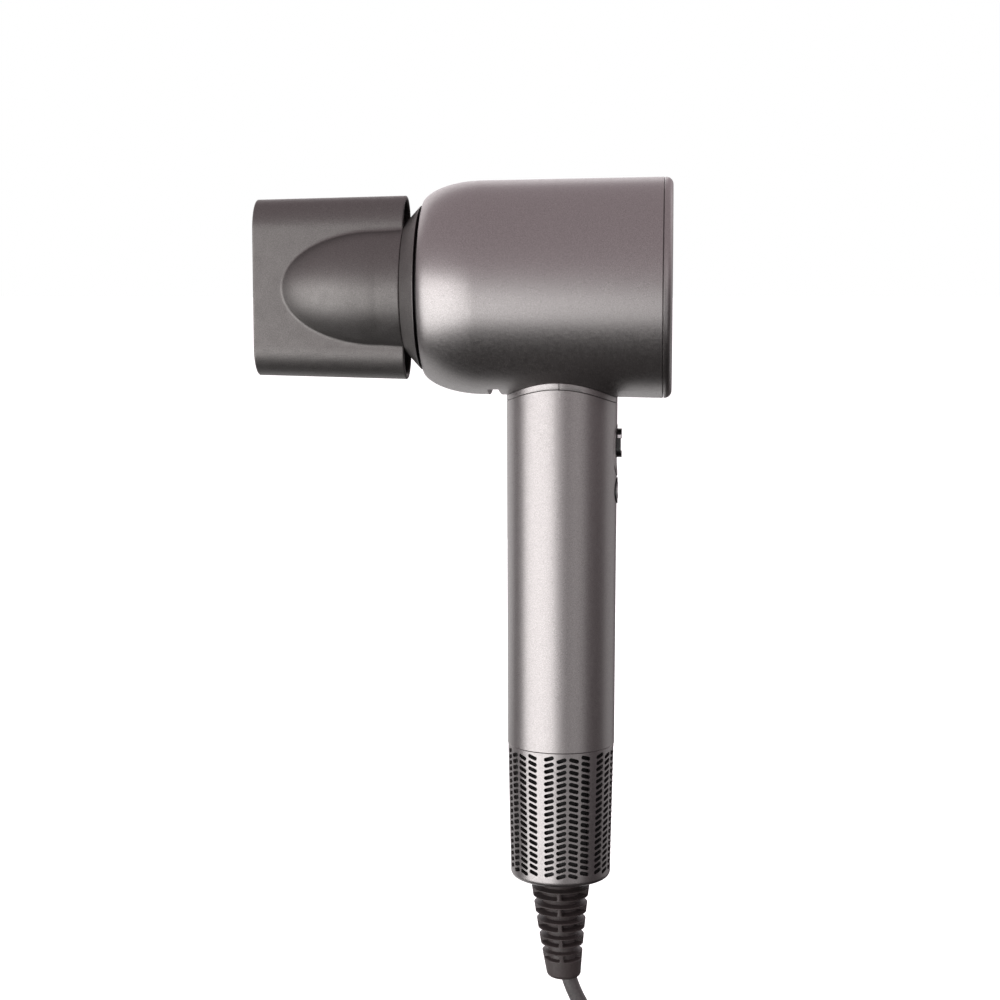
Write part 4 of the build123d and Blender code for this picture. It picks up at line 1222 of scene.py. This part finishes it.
class DRYER_OT_cord(bpy.types.Operator):
    """Lays the cord along its fall, its coil and its lead to the plug, and puts the tie round its coil"""

    bl_idname = "dryer.cord"
    bl_label = "Cord"

    def execute(self, context):
        cord = context.scene.dryer_cord
        points = drop_route() + coil_turns(cord) + self.last_half_turn(cord) + lead_route(cord)
        curve = bpy.data.curves.new("power_flex", "CURVE")
        curve.dimensions = "3D"
        spline = curve.splines.new("NURBS")
        spline.points.add(len(points) - 1)
        for point, place in zip(spline.points, points):
            point.co = (*place, 1)
        spline.order_u = 3
        spline.use_endpoint_u = True
        spline.resolution_u = 6
        curve.bevel_depth = cord.diameter / 2
        curve.bevel_resolution = 5
        curve.use_fill_caps = True
        flex = bpy.data.objects.new("power_flex", curve)
        context.scene.collection.objects.link(flex)
        tie = self.tie(cord)
        curve.materials.append(finish_of("cord_jacket"))
        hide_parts("power_cord", "cord_coil", "plug_lead")
        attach(flex, "dryer")
        return {"FINISHED"}

    def last_half_turn(self, cord):
        """From the side where the turns begin, half way round to the plug's side."""
        radius = coil_outer_r - 0.5 * cord.diameter
        points = []
        for step in range(1, 8):
            angle = math.pi / 2 - math.pi * step / 8
            points.append(coil_point(radius, angle, cord.diameter / 2))
        return points

    def tie(self, cord):
        """A hook-and-loop strap with rounded corners, round the coil's section."""
        lowest, highest = low("cord_tie"), high("cord_tie")
        half_width = (highest.y - lowest.y) / 2
        inner = coil_outer_r - 3 * cord.diameter
        thick = 1.0 * MM
        section = [
            (coil_centre.x + inner - 0.2 * MM, floor_z + 0.05 * MM),
            (coil_centre.x + coil_outer_r + 0.2 * MM, floor_z + 0.05 * MM),
            (coil_centre.x + coil_outer_r + 0.2 * MM, floor_z + 3 * cord.diameter + 0.2 * MM),
            (coil_centre.x + inner - 0.2 * MM, floor_z + 3 * cord.diameter + 0.2 * MM),
        ]
        inside = round_corners(section, 2.4 * MM, 6)
        centre = Vector((sum(p[0] for p in section) / 4, sum(p[1] for p in section) / 4))
        vertices = []
        rows = [(-half_width, 0.0), (half_width, 0.0), (half_width, thick), (-half_width, thick)]
        for y, out in rows:
            for x, z in inside:
                away = Vector((x, z)) - centre
                away.normalize()
                place = Vector((x, z)) + away * out
                vertices.append((place.x, coil_centre.y + y, max(place.y, floor_z)))
        strap = new_object("coil_tie", vertices, ring_faces(len(rows), len(inside)), 50)
        return finish_piece(strap, finish_of("woven_tie"), "tie", "dryer", "cord_tie")


# ---------------------------------------------------------------- pieces kept as the frame has them
finish_of_slot = {
    "body_paint": "metallic_paint",
    "nozzle_plastic": "satin_plastic",
    "black_plastic": "black_plastic",
    "control_black": "gloss_black",
    "control_bright": "bright_silver",
    "control_ring": "gloss_black",
    "mica": "mica_sheet",
    "resistance_wire": "heater_wire",
    "circuit_board": "board_green",
    "steel": "turned_steel",
    "copper": "copper_wire",
    "mesh": "dark_mesh",
    "mount_rubber": "soft_rubber",
    "relief_rubber": "relief_rubber",
    "cord_rubber": "cord_jacket",
    "tie": "woven_tie",
    "plug_plastic": "plug_plastic",
    "pin_metal": "pin_nickel",
}


class DRYER_OT_kept(bpy.types.Operator):
    """Gives the pieces that keep the frame's own shape their finishes"""

    bl_idname = "dryer.kept"
    bl_label = "Kept pieces"

    def execute(self, context):
        for part in frame["record"]["subparts"]:
            node = frame["nodes"][part["node"]]
            finish = finish_of(finish_of_slot[part["material_slot"]])
            if part["node"] == "switch_bezel":
                finish = finish_of("metallic_paint")
            for slot in node.material_slots:
                slot.material = finish
        return {"FINISHED"}


# ---------------------------------------------------------------- add-on
class DRYER_PT_panel(bpy.types.Panel):
    """Lists the steps and the sizes"""

    bl_idname = "DRYER_PT_panel"
    bl_label = "Hair dryer"
    bl_space_type = "VIEW_3D"
    bl_region_type = "UI"
    bl_category = "Hair dryer"

    def draw(self, context):
        for operator in operators:
            self.layout.operator(operator.bl_idname)
        for name in settings_of:
            group = getattr(context.scene, "dryer_" + name)
            box = self.layout.box()
            box.label(text=name)
            for key in group.bl_rna.properties.keys():
                if key not in ("rna_type", "name"):
                    box.prop(group, key)


operators = (
    DRYER_OT_camera,
    DRYER_OT_finishes,
    DRYER_OT_cord,
    DRYER_OT_stage,
    DRYER_OT_kept,
    DRYER_OT_barrel,
    DRYER_OT_nozzle,
    DRYER_OT_handle,
    DRYER_OT_sleeve,
    DRYER_OT_relief,
)


def register():
    for kind in (*settings_of.values(), *operators, DRYER_PT_panel):
        bpy.utils.register_class(kind)
    for name, kind in settings_of.items():
        setattr(bpy.types.Scene, "dryer_" + name, bpy.props.PointerProperty(type=kind))


def unregister():
    for name in settings_of:
        delattr(bpy.types.Scene, "dryer_" + name)
    for kind in reversed((*settings_of.values(), *operators, DRYER_PT_panel)):
        bpy.utils.unregister_class(kind)


def main():
    register()
    for operator in operators:
        group, name = operator.bl_idname.split(".")
        getattr(getattr(bpy.ops, group), name)()


if __name__ == "__main__":
    main()
